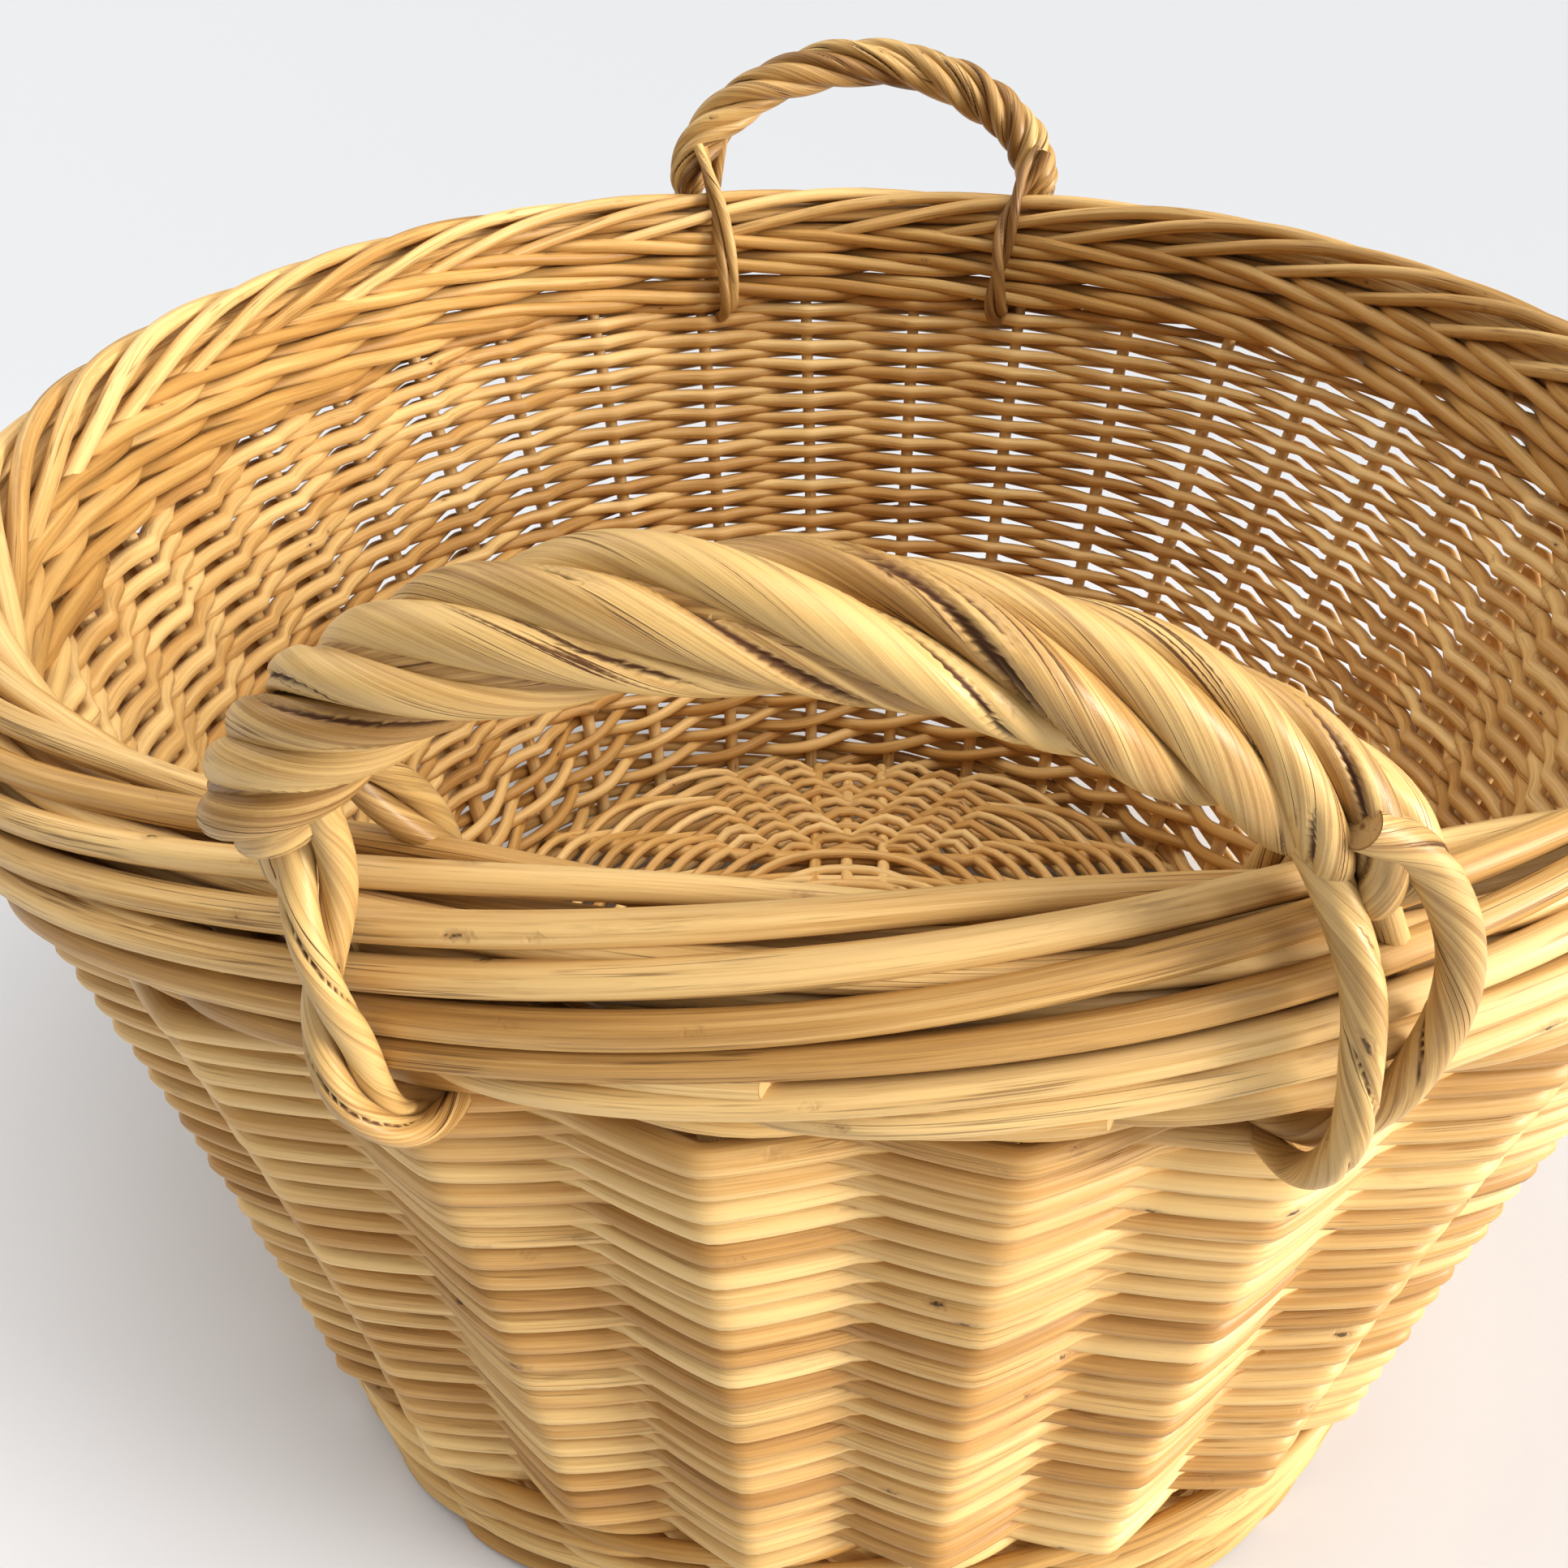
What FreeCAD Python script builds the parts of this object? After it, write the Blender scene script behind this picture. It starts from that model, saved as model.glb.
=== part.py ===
import FreeCAD, Part
import math
import os

# Oval willow basket with a flared wall, a stout rod border and two roped
# handles, one at each end of its long axis.  Millimetres, +Z up, the floor
# at Z = 0, long axis along Y, the two handles at -Y (front) and +Y (back).

V = FreeCAD.Vector

# ---------------------------------------------------------------- dimensions
HALF_WIDTH = 164.0        # stake centre line at floor level, across (X)
HALF_LENGTH = 212.5       # stake centre line at floor level, along (Y)
CORNER_R = 92.0           # radius of the oval's rounded corners at floor level
JOINT_SIDE = 30.0         # heading where the side arc meets the corner arc
JOINT_END = 60.0          # heading where the corner arc meets the end arc
STAKES_PER_QUARTER = 8    # 32 upright stakes in all
STAKE_R = 3.1
FLARE_MID = 23.0          # outward lean of the wall at half height
FLARE_TOP = 54.5          # outward lean of the wall at the top of the siding
FLARE_TOP_Z = 228.0

FOOT_H = 13.0             # bottom round, the one that stands on the floor
WALE_H = 12.0             # height of one round of three-rod wale
WALE_IN = 10.0            # wale reaches this far inside the stake centres
WALE_OUT = 12.5           # and this far outside
UPSETT_ROUNDS = 3
TOP_WALE_Z = 217.0
TOP_WALE_ROUNDS = 3
TOP_WALE_H = 10.0
TOP_WALE_IN = 42.0        # offsets of the lowest round; each one above steps out
TOP_WALE_OUT = 65.5
TOP_WALE_STEP_IN = 2.0
TOP_WALE_STEP_OUT = 0.5
SIDING_IN = 6.6
SIDING_OUT = 6.6
SIDING_GAP = 0.2

BORDER_MID = 57.0         # offset of the border's middle from the floor oval
BORDER_ROD_R = 3.7
BORDER_PITCH = 7.3        # rod to rod across the border
RIM_Z = 263.0             # top of the border

BASE_Z0 = 3.0
BASE_Z1 = 17.0
STICK_Z = 10.0
LONG_STICK_R = 3.1
SHORT_STICK_R = 4.8
LONG_STICK_PITCH = 15.0
SHORT_STICK_PITCH = 31.0
SHORT_STICKS = 9

HANDLE_HALF_SPAN = 75.0   # bow centre line, foot to middle
HANDLE_FOOT_OFFSET = 62.0
HANDLE_FOOT_Z = 250.0
HANDLE_LEAN = 20.0        # degrees outward
HANDLE_SPRING = 13.0      # straight part of each leg above the foot level
HANDLE_RISE = 51.0
HANDLE_CORNER_R = 34.0
BOW_R = 2.4
BOW_TAIL = 24.0           # bow end pushed down beside a stake
STRANDS = 5
STRAND_R = 3.3
STRAND_PITCH = 85.0
STRAND_STATIONS = 56
STRAND_START = 19.5       # strands begin this far along the bow above the foot
LEG_ROD_R = 2.4
LEG_SHIFT = 2.6           # half the distance between a foot's two rods
LEG_SPREAD = {"left": 1.0, "right": 2.8}   # how much wider they stand outside the border
CLEAR = 0.15              # air between a rod and the channel it runs in

# Side and end arcs that meet the corner arcs without a kink.
JOINT_SAG = 1.0 - math.cos(math.radians(JOINT_SIDE))
JOINT_SINE = math.sin(math.radians(JOINT_SIDE))
END_EXCESS = (JOINT_SINE * (HALF_WIDTH - CORNER_R) - JOINT_SAG * (HALF_LENGTH - CORNER_R))
END_EXCESS = END_EXCESS / (JOINT_SINE ** 2 - JOINT_SAG ** 2)
SIDE_EXCESS = (HALF_LENGTH - CORNER_R - JOINT_SAG * END_EXCESS) / JOINT_SINE
END_R = CORNER_R + END_EXCESS
SIDE_R = CORNER_R + SIDE_EXCESS
CORNER_X = JOINT_SINE * END_EXCESS
CORNER_Y = JOINT_SINE * SIDE_EXCESS
END_Y = HALF_LENGTH - END_R


# ------------------------------------------------------------- oval geometry
def arc_centre(p, q, r):
    """Centre and radius of the circle through three (offset, z) points."""
    ax, ay = p
    bx, by = q
    cx, cy = r
    d = 2.0 * (ax * (by - cy) + bx * (cy - ay) + cx * (ay - by))
    ux = ((ax * ax + ay * ay) * (by - cy) + (bx * bx + by * by) * (cy - ay)
          + (cx * cx + cy * cy) * (ay - by)) / d
    uy = ((ax * ax + ay * ay) * (cx - bx) + (bx * bx + by * by) * (ax - cx)
          + (cx * cx + cy * cy) * (bx - ax)) / d
    return ux, uy, math.hypot(ax - ux, ay - uy)


ARC_O, ARC_Z, ARC_R = arc_centre((0.0, 0.0), (FLARE_MID, FLARE_TOP_Z / 2.0), (FLARE_TOP, FLARE_TOP_Z))


def flare(z):
    """Offset of the stake centre line from the floor oval at height z."""
    return ARC_O - math.copysign(1.0, ARC_O) * math.sqrt(ARC_R ** 2 - (z - ARC_Z) ** 2)


def sector(heading):
    """Arc centre and radius (at offset 0) of the oval at a heading in degrees."""
    a = math.radians(heading)
    right = math.copysign(1.0, math.cos(a))
    back = math.copysign(1.0, math.sin(a))
    folded = math.degrees(math.atan2(abs(math.sin(a)), abs(math.cos(a))))
    if folded < JOINT_SIDE:
        return V(right * (HALF_WIDTH - SIDE_R), 0, 0), SIDE_R
    if folded < JOINT_END:
        return V(right * CORNER_X, back * CORNER_Y, 0), CORNER_R
    return V(0, back * END_Y, 0), END_R


def on_oval(heading, offset, z):
    centre, radius = sector(heading)
    a = math.radians(heading)
    return centre + V(math.cos(a), math.sin(a), 0) * (radius + offset) + V(0, 0, z)


def stake_headings():
    """Headings of the stakes of the quarter x > 0, y > 0, evenly spaced at the rim."""
    bounds = (0.0, JOINT_SIDE, JOINT_END, 90.0)
    radii = [r + BORDER_MID for r in (SIDE_R, CORNER_R, END_R)]
    lengths = [r * math.radians(bounds[n + 1] - bounds[n]) for n, r in enumerate(radii)]
    step = sum(lengths) / STAKES_PER_QUARTER
    out = []
    for k in range(STAKES_PER_QUARTER):
        s = (k + 0.5) * step
        n = 0
        while s > lengths[n]:
            s -= lengths[n]
            n += 1
        out.append(bounds[n] + math.degrees(s / radii[n]))
    return out


def mirrored(shape, x, y):
    out = shape
    if x:
        out = out.mirror(V(0, 0, 0), V(1, 0, 0))
    if y:
        out = out.mirror(V(0, 0, 0), V(0, 1, 0))
    return out


def four(shape):
    return [mirrored(shape, x, y) for x in (False, True) for y in (False, True)]


def quarter_ring(section):
    """Revolve an (offset, z) section round a quarter of the oval.

    section(place) gives a face once place(offset, z) gives points."""
    solids = []
    bounds = (0.0, JOINT_SIDE, JOINT_END, 90.0)
    for start, end in zip(bounds[:-1], bounds[1:]):
        centre, radius = sector((start + end) / 2.0)
        a = math.radians(start)
        direction = V(math.cos(a), math.sin(a), 0)

        def place(offset, z):
            return centre + direction * (radius + offset) + V(0, 0, z)

        solids.append(section(place).revolve(centre, V(0, 0, 1), end - start))
    return solids[0].multiFuse(solids[1:])


def whole(quarter):
    parts = four(quarter)
    return parts[0].multiFuse(parts[1:])


def rod_section(offset, z, r):
    def make(place):
        a = place(offset + r, z)
        b = place(offset, z + r)
        c = place(offset - r, z)
        d = place(offset, z - r)
        wire = Part.Wire([Part.Arc(a, b, c).toShape(), Part.Arc(c, d, a).toShape()])
        return Part.Face(wire)
    return make


def rounded_section(o0, o1, z0, z1, r_low, r_top):
    """Upright rounded rectangle, with its own corner radius below and above."""
    s = 1.0 - math.sqrt(0.5)

    def make(place):
        edges = []
        corners = [
            ((o0 + r_low, z0), (o1 - r_low, z0)),
            ((o1 - r_low, z0), (o1 - r_low * s, z0 + r_low * s), (o1, z0 + r_low)),
            ((o1, z0 + r_low), (o1, z1 - r_top)),
            ((o1, z1 - r_top), (o1 - r_top * s, z1 - r_top * s), (o1 - r_top, z1)),
            ((o1 - r_top, z1), (o0 + r_top, z1)),
            ((o0 + r_top, z1), (o0 + r_top * s, z1 - r_top * s), (o0, z1 - r_top)),
            ((o0, z1 - r_top), (o0, z0 + r_low)),
            ((o0, z0 + r_low), (o0 + r_low * s, z0 + r_low * s), (o0 + r_low, z0)),
        ]
        for run in corners:
            pts = [place(*p) for p in run]
            if len(pts) == 2:
                edges.append(Part.makeLine(pts[0], pts[1]))
            else:
                edges.append(Part.Arc(pts[0], pts[1], pts[2]).toShape())
        return Part.Face(Part.Wire(edges))
    return make


def flared_section(z0, z1, inside, outside):
    """Band that follows the flare of the stakes between two heights."""
    zm = (z0 + z1) / 2.0

    def make(place):
        outer = Part.Arc(place(flare(z0) + outside, z0), place(flare(zm) + outside, zm),
                         place(flare(z1) + outside, z1)).toShape()
        top = Part.makeLine(place(flare(z1) + outside, z1), place(flare(z1) - inside, z1))
        inner = Part.Arc(place(flare(z1) - inside, z1), place(flare(zm) - inside, zm),
                         place(flare(z0) - inside, z0)).toShape()
        bottom = Part.makeLine(place(flare(z0) - inside, z0), place(flare(z0) + outside, z0))
        return Part.Face(Part.Wire([outer, top, inner, bottom]))
    return make


def stake(heading, r, z0, z1):
    """One upright rod, curved outwards with the flare of the wall."""
    a = math.radians(heading)
    direction = V(math.cos(a), math.sin(a), 0)
    side = V(0, 0, 1).cross(direction)
    start = on_oval(heading, flare(z0), z0)
    hub = on_oval(heading, ARC_O, ARC_Z)
    t0 = math.atan2(z0 - ARC_Z, flare(z0) - ARC_O)
    t1 = math.atan2(z1 - ARC_Z, flare(z1) - ARC_O)
    radial = (start - hub).normalize()
    tangent = side.cross(radial)
    turn = math.degrees(t1 - t0)
    turn = (turn + 180.0) % 360.0 - 180.0
    face = Part.Face(Part.Wire(Part.makeCircle(r, start, tangent)))
    solid = face.revolve(hub, side, -turn)
    if solid.Volume < 0:
        solid.reverse()
    return solid


# --------------------------------------------------------------- rods by path
def rod_along(points, r):
    """A round rod along straight runs joined by tangent arcs."""
    edges = []
    here = points[0]
    for i in range(1, len(points) - 1):
        a, b, c = points[i - 1], points[i], points[i + 1]
        u = (b - a)
        w = (c - b)
        shorter = min(u.Length, w.Length)
        u.normalize()
        w.normalize()
        t = 0.45 * shorter
        p0 = b - u * t
        p2 = b + w * t
        half = u.getAngle(w) / 2.0
        radius = t / math.tan(half)
        inward = (w - u).normalize()
        pm = b + inward * (radius / math.cos(half) - radius)
        edges.append(Part.makeLine(here, p0))
        edges.append(Part.Arc(p0, pm, p2).toShape())
        here = p2
    edges.append(Part.makeLine(here, points[-1]))
    path = Part.Wire(edges)
    start = Part.Wire(Part.makeCircle(r, points[0], points[1] - points[0]))
    return path.makePipeShell([start], True, False)


# -------------------------------------------------------------------- handles
LEAN = math.radians(HANDLE_LEAN)
FOOT_RADIUS = END_R + HANDLE_FOOT_OFFSET
FOOT_Y = -END_Y - math.sqrt(FOOT_RADIUS ** 2 - HANDLE_HALF_SPAN ** 2)
ARCH_D = ((HANDLE_HALF_SPAN - HANDLE_CORNER_R) ** 2 - (HANDLE_RISE - HANDLE_CORNER_R) ** 2)
ARCH_D = ARCH_D / (2.0 * (HANDLE_RISE - HANDLE_CORNER_R))
ARCH_R = HANDLE_RISE + ARCH_D
ARCH_TURN = math.atan2(HANDLE_HALF_SPAN - HANDLE_CORNER_R, ARCH_D)
CORNER_TURN = math.pi / 2.0 - ARCH_TURN


def in_plane(x, h):
    """Point of the front handle's leaning plane, h up the plane from the foot."""
    return V(x, FOOT_Y - h * math.sin(LEAN), HANDLE_FOOT_Z + h * math.cos(LEAN))


def arch_point(s):
    """Point and direction (both in-plane) at length s along the bow, from the left foot."""
    corner = HANDLE_CORNER_R * CORNER_TURN
    crown = ARCH_R * ARCH_TURN * 2.0
    if s <= HANDLE_SPRING:
        return (-HANDLE_HALF_SPAN, s), (0.0, 1.0)
    s -= HANDLE_SPRING
    if s <= corner:
        t = s / HANDLE_CORNER_R
        x = -(HANDLE_HALF_SPAN - HANDLE_CORNER_R) - HANDLE_CORNER_R * math.cos(t)
        return (x, HANDLE_SPRING + HANDLE_CORNER_R * math.sin(t)), (math.sin(t), math.cos(t))
    s -= corner
    if s <= crown:
        t = -ARCH_TURN + s / ARCH_R
        h = HANDLE_SPRING - ARCH_D + ARCH_R * math.cos(t)
        return (ARCH_R * math.sin(t), h), (math.cos(t), -math.sin(t))
    s -= crown
    if s <= corner:
        t = CORNER_TURN - s / HANDLE_CORNER_R
        x = (HANDLE_HALF_SPAN - HANDLE_CORNER_R) + HANDLE_CORNER_R * math.cos(t)
        return (x, HANDLE_SPRING + HANDLE_CORNER_R * math.sin(t)), (math.sin(t), -math.cos(t))
    s -= corner
    return (HANDLE_HALF_SPAN, HANDLE_SPRING - s), (0.0, -1.0)


ARCH_LENGTH = 2.0 * (HANDLE_SPRING + HANDLE_CORNER_R * CORNER_TURN + ARCH_R * ARCH_TURN)


def bow(r, tail):
    """The bent core rod of the front handle."""
    s0 = HANDLE_SPRING
    s1 = s0 + HANDLE_CORNER_R * CORNER_TURN
    s2 = s1 + ARCH_R * ARCH_TURN * 2.0
    s3 = s2 + HANDLE_CORNER_R * CORNER_TURN

    def at(s):
        return in_plane(*arch_point(s)[0])

    low_left = in_plane(-HANDLE_HALF_SPAN, -tail)
    low_right = in_plane(HANDLE_HALF_SPAN, -tail)
    edges = [
        Part.makeLine(low_left, at(s0)),
        Part.Arc(at(s0), at((s0 + s1) / 2.0), at(s1)).toShape(),
        Part.Arc(at(s1), at((s1 + s2) / 2.0), at(s2)).toShape(),
        Part.Arc(at(s2), at((s2 + s3) / 2.0), at(s3)).toShape(),
        Part.makeLine(at(s3), low_right),
    ]
    start = Part.Wire(Part.makeCircle(r, low_left, at(s0) - low_left))
    return Part.Wire(edges).makePipeShell([start], True, False)


def strand(phase):
    """One rod of the rope, laid round the bow in a right-handed turn."""
    across = V(0, math.cos(LEAN), math.sin(LEAN))
    lay = BOW_R + CLEAR + STRAND_R
    length = ARCH_LENGTH - 2.0 * STRAND_START
    wires = []
    for i in range(STRAND_STATIONS + 1):
        s = STRAND_START + length * i / STRAND_STATIONS
        (x, h), (dx, dh) = arch_point(s)
        centre = in_plane(x, h)
        ahead = (in_plane(x + dx, h + dh) - centre).normalize()
        normal = across.cross(ahead)
        turn = phase + 2.0 * math.pi * s / STRAND_PITCH
        out = normal * math.cos(turn) + across * math.sin(turn)
        wires.append(Part.Wire(Part.makeCircle(STRAND_R, centre + out * lay, ahead)))
    return Part.makeLoft(wires, True, False)


def leg_points(side, shift, spread):
    """Path of one rod of a handle's foot: down outside, under the border, up inside."""
    def at(x, offset, z):
        radius = END_R + offset
        return V(side * x, -END_Y - math.sqrt(radius ** 2 - x ** 2), z)

    wide = shift * spread
    top = (shift + wide) / 2.0
    return [
        at(HANDLE_HALF_SPAN + top, 69.0, 268.5),
        at(HANDLE_HALF_SPAN + 1.5 + wide, 74.0, 257.0),
        at(HANDLE_HALF_SPAN + 1.0 + wide, 74.0, 232.0),
        at(HANDLE_HALF_SPAN - 4.0 + top, 66.5, 211.0),
        at(HANDLE_HALF_SPAN - 13.0 + shift, 39.5, 208.5),
        at(HANDLE_HALF_SPAN - 17.0 + shift, 39.5, 224.0),
        at(HANDLE_HALF_SPAN - 13.0 + shift, 41.5, 250.0),
        at(HANDLE_HALF_SPAN - 7.0 + shift, 50.5, 269.5),
    ]


# ------------------------------------------------------------------ components
nodes = {}
headings = stake_headings()

# Stakes, in four groups by the quarter of the oval that they stand in.
quarter_stakes = [stake(h, STAKE_R, 4.0, 243.0) for h in headings]
quarter_channels = [stake(h, STAKE_R + CLEAR, -2.0, 248.0) for h in headings]
names = ("stakes_back_right", "stakes_front_right", "stakes_back_left", "stakes_front_left")
for name, group in zip(names, ((False, False), (False, True), (True, False), (True, True))):
    nodes[name] = Part.makeCompound([mirrored(s, *group) for s in quarter_stakes])

# Legs of both handles, and the bows, before what has to give them room.
legs = {}
leg_room = []
for side, side_name in ((-1.0, "left"), (1.0, "right")):
    for n, shift in ((1, -LEG_SHIFT), (2, LEG_SHIFT)):
        path = leg_points(side, shift, LEG_SPREAD[side_name])
        legs["leg_%s_rod_%d" % (side_name, n)] = rod_along(path, LEG_ROD_R)
        leg_room.append(rod_along(path, LEG_ROD_R + CLEAR))
bow_solid = bow(BOW_R, BOW_TAIL)
bow_room = bow(BOW_R + CLEAR, BOW_TAIL + 0.5)


def turned(shape):
    return shape.rotated(V(0, 0, 0), V(0, 0, 1), 180.0)


room = leg_room + [bow_room]
room = room + [turned(s) for s in room]


def with_room(shape):
    """Take out the channels of the legs and bows that cross the shape."""
    box = shape.BoundBox
    near = [s for s in room if box.intersect(s.BoundBox)]
    if not near:
        return shape
    return shape.cut(near)


def woven_band(section):
    quarter = quarter_ring(section)
    return whole(quarter.cut(quarter_channels))


# Bottom round, which stands on the floor, and the upsett rounds on it.
nodes["foot_round"] = woven_band(
    rounded_section(-WALE_IN + 1.0, WALE_OUT - 1.5, 0.0, FOOT_H, 3.0, 4.5))
for n in range(UPSETT_ROUNDS):
    z0 = FOOT_H + n * WALE_H
    o = flare(z0 + WALE_H / 2.0)
    section = rounded_section(o - WALE_IN, o + WALE_OUT, z0, z0 + WALE_H, 4.5, 4.5)
    nodes["upsett_wale_%d" % (n + 1)] = woven_band(section)

# Siding, in three courses.
siding_z0 = FOOT_H + UPSETT_ROUNDS * WALE_H
course = (TOP_WALE_Z - siding_z0) / 3.0
for n, name in enumerate(("siding_lower", "siding_middle", "siding_upper")):
    z0 = siding_z0 + n * course + SIDING_GAP / 2.0
    z1 = siding_z0 + (n + 1) * course - SIDING_GAP / 2.0
    nodes[name] = with_room(woven_band(flared_section(z0, z1, SIDING_IN, SIDING_OUT)))

# Top wale.
for n in range(TOP_WALE_ROUNDS):
    z0 = TOP_WALE_Z + n * TOP_WALE_H
    section = rounded_section(TOP_WALE_IN + n * TOP_WALE_STEP_IN, TOP_WALE_OUT + n * TOP_WALE_STEP_OUT,
                              z0, z0 + TOP_WALE_H, 4.0, 4.0)
    nodes["top_wale_%d" % (n + 1)] = with_room(woven_band(section))

# Border rods, laid round the rim.
border = {
    "border_core": (0.0, RIM_Z - 11.4),
    "border_inner_low": (-BORDER_PITCH, RIM_Z - 12.3),
    "border_inner_high": (-BORDER_PITCH, RIM_Z - BORDER_ROD_R - 1.2),
    "border_crown": (0.0, RIM_Z - BORDER_ROD_R),
    "border_outer_high": (BORDER_PITCH, RIM_Z - BORDER_ROD_R - 1.2),
    "border_outer_low": (BORDER_PITCH, RIM_Z - 12.3),
}
for name, (offset, z) in border.items():
    nodes[name] = with_room(whole(quarter_ring(rod_section(BORDER_MID + offset, z, BORDER_ROD_R - 0.08))))

# Base: a slath of short and long sticks inside the base weave.
long_sticks = []
for n in (-1, 0, 1):
    x = n * LONG_STICK_PITCH
    reach = on_oval(90.0, -WALE_IN - 1.0, 0).y - 0.4 * abs(n)
    long_sticks.append(Part.makeCylinder(LONG_STICK_R, 2 * reach, V(x, -reach, STICK_Z), V(0, 1, 0)))
short_sticks = []
stick_bores = []
for n in range(SHORT_STICKS):
    y = (n - (SHORT_STICKS - 1) / 2.0) * SHORT_STICK_PITCH
    radius = SIDE_R - WALE_IN - 3.0
    reach = math.sqrt(radius ** 2 - y ** 2) - (SIDE_R - HALF_WIDTH)
    stick = Part.makeCylinder(SHORT_STICK_R, 2 * reach, V(-reach, y, STICK_Z), V(1, 0, 0))
    short_sticks.append(stick)
for n in (-1, 0, 1):
    x = n * LONG_STICK_PITCH
    reach = HALF_LENGTH
    stick_bores.append(Part.makeCylinder(LONG_STICK_R + CLEAR, 2 * reach, V(x, -reach, STICK_Z), V(0, 1, 0)))
nodes["base_long_sticks"] = Part.makeCompound(long_sticks)
nodes["base_short_sticks"] = Part.makeCompound([s.cut(stick_bores) for s in short_sticks])

disc_edge = -WALE_IN + 0.8


def oval_disc(offset, z0, z1):
    joints = []
    for quadrant in (0.0, 90.0, 180.0, 270.0):
        first = JOINT_SIDE if quadrant in (0.0, 180.0) else 90.0 - JOINT_END
        second = JOINT_END if quadrant in (0.0, 180.0) else 90.0 - JOINT_SIDE
        joints.extend([quadrant + first, quadrant + second])
    corners = [on_oval(heading, offset, z0) for heading in joints]
    arcs = []
    for n, heading in enumerate(joints):
        following = joints[(n + 1) % len(joints)]
        middle = heading + ((following - heading) % 360.0) / 2.0
        arcs.append(Part.Arc(corners[n], on_oval(middle, offset, z0), corners[(n + 1) % len(joints)]).toShape())
    return Part.Face(Part.Wire(arcs)).extrude(V(0, 0, z1 - z0))


disc = oval_disc(disc_edge, BASE_Z0, BASE_Z1)
short_room = []
for n, s in enumerate(short_sticks):
    box = s.BoundBox
    short_room.append(Part.makeCylinder(SHORT_STICK_R + CLEAR, box.XLength + 0.6,
                                        V(box.XMin - 0.3, box.Center.y, STICK_Z), V(1, 0, 0)))
nodes["base_weave"] = disc.cut(stick_bores + short_room)

# Handles: bow, rope strands and feet; the back one is the front one turned round.
for end, move in (("front", lambda s: s), ("back", turned)):
    nodes["handle_%s_bow" % end] = move(bow_solid)
    for n in range(STRANDS):
        nodes["handle_%s_strand_%d" % (end, n + 1)] = move(strand(2.0 * math.pi * n / STRANDS))
    for name, solid in legs.items():
        nodes["handle_%s_%s" % (end, name)] = move(solid)

os.makedirs("parts", exist_ok=True)
for name, shape in nodes.items():
    shape.exportStep("parts/%s.step" % name)
    box = shape.BoundBox
    print("%-28s valid %s solids %d volume %9.0f  x %.1f..%.1f  y %.1f..%.1f  z %.1f..%.1f" % (
        name, shape.isValid(), len(shape.Solids), shape.Volume,
        box.XMin, box.XMax, box.YMin, box.YMax, box.ZMin, box.ZMax))
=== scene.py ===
import math

import bpy
import numpy as np
from mathutils import Matrix, Vector


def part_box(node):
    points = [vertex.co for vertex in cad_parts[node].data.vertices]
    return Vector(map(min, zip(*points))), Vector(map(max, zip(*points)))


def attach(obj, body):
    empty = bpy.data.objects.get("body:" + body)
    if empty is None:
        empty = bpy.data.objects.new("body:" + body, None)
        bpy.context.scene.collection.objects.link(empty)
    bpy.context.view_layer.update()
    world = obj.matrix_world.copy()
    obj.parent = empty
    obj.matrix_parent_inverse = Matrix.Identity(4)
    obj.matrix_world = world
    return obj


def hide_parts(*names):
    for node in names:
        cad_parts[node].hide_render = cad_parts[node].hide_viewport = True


# An oval willow basket with a flared wall, a stout rod border and two roped handles, woven rod by rod.
# Lengths are millimetres until a mesh is made, and metres for the floor, lamps and camera. Z is up, the
# long axis is Y, and the front is -Y.

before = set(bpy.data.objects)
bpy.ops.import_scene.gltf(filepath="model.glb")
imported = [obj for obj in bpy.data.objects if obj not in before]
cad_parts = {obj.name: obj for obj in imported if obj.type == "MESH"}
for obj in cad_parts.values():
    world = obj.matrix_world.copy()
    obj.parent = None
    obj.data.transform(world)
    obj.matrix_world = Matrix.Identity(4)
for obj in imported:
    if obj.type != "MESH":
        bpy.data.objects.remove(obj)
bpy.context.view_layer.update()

MM = 0.001
UP = np.array((0.0, 0.0, 1.0))
rng = np.random.default_rng(5)


def box_mm(node):
    """Lowest and highest corner of a CAD node, in millimetres."""
    low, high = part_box(node)
    return np.array(low) / MM, np.array(high) / MM


# ------------------------------------------------------------------ dimensions
FOOT_REACH = 11.0             # the bottom round stands this far outside the stakes' centre line
FOOT_BOX = box_mm("foot_round")
HALF_WIDTH = FOOT_BOX[1][0] - FOOT_REACH     # of the stakes' centre line at floor level
HALF_LENGTH = FOOT_BOX[1][1] - FOOT_REACH
CORNER_R = 92.0               # radius of the oval's rounded corners at floor level
JOINT_SIDE = math.radians(30.0)   # heading where a side arc meets a corner arc
JOINT_END = math.radians(60.0)    # heading where a corner arc meets an end arc
FLARE_MID = 23.0              # outward lean of the wall at half of FLARE_TOP_Z
FLARE_TOP = 54.5              # and at FLARE_TOP_Z
FLARE_TOP_Z = 228.0
RIM_Z = box_mm("border_crown")[1][2]
BORDER_MID = 57.0             # offset of the border's middle from the floor oval

STAKES = 32
STAKE_FOOT_R = 3.0
STAKE_TOP_R = 2.5
STAKE_Z0 = 2.0                # the stakes start this far above the floor
STAKE_TOP_DROP = 4.0          # and end this far below the top of the top wale
STAKE_SWAY = (0.02, 60.0)     # places to either side, and the length over which a stake sways
STAKE_TONES = (0.45, 1.0)     # stakes are paler than other rods

SIDING_Z0 = box_mm("siding_lower")[0][2]
SIDING_Z1 = box_mm("siding_upper")[1][2]
SIDING_ROWS = 44
SIDING_TIGHTER = 0.09         # the rows get closer together towards the rim
SIDING_R = 2.9
SIDING_VARIES = (0.94, 1.06)  # thinnest and thickest weaver against SIDING_R
SIDING_PRESSED = 0.86         # height over width of a weaver where it is pressed between its neighbours
SIDING_WAVE = ((3, 5.0, 0.7), (11, 3.0, 0.35))    # waves to a round, rows to a radian, height


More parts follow.
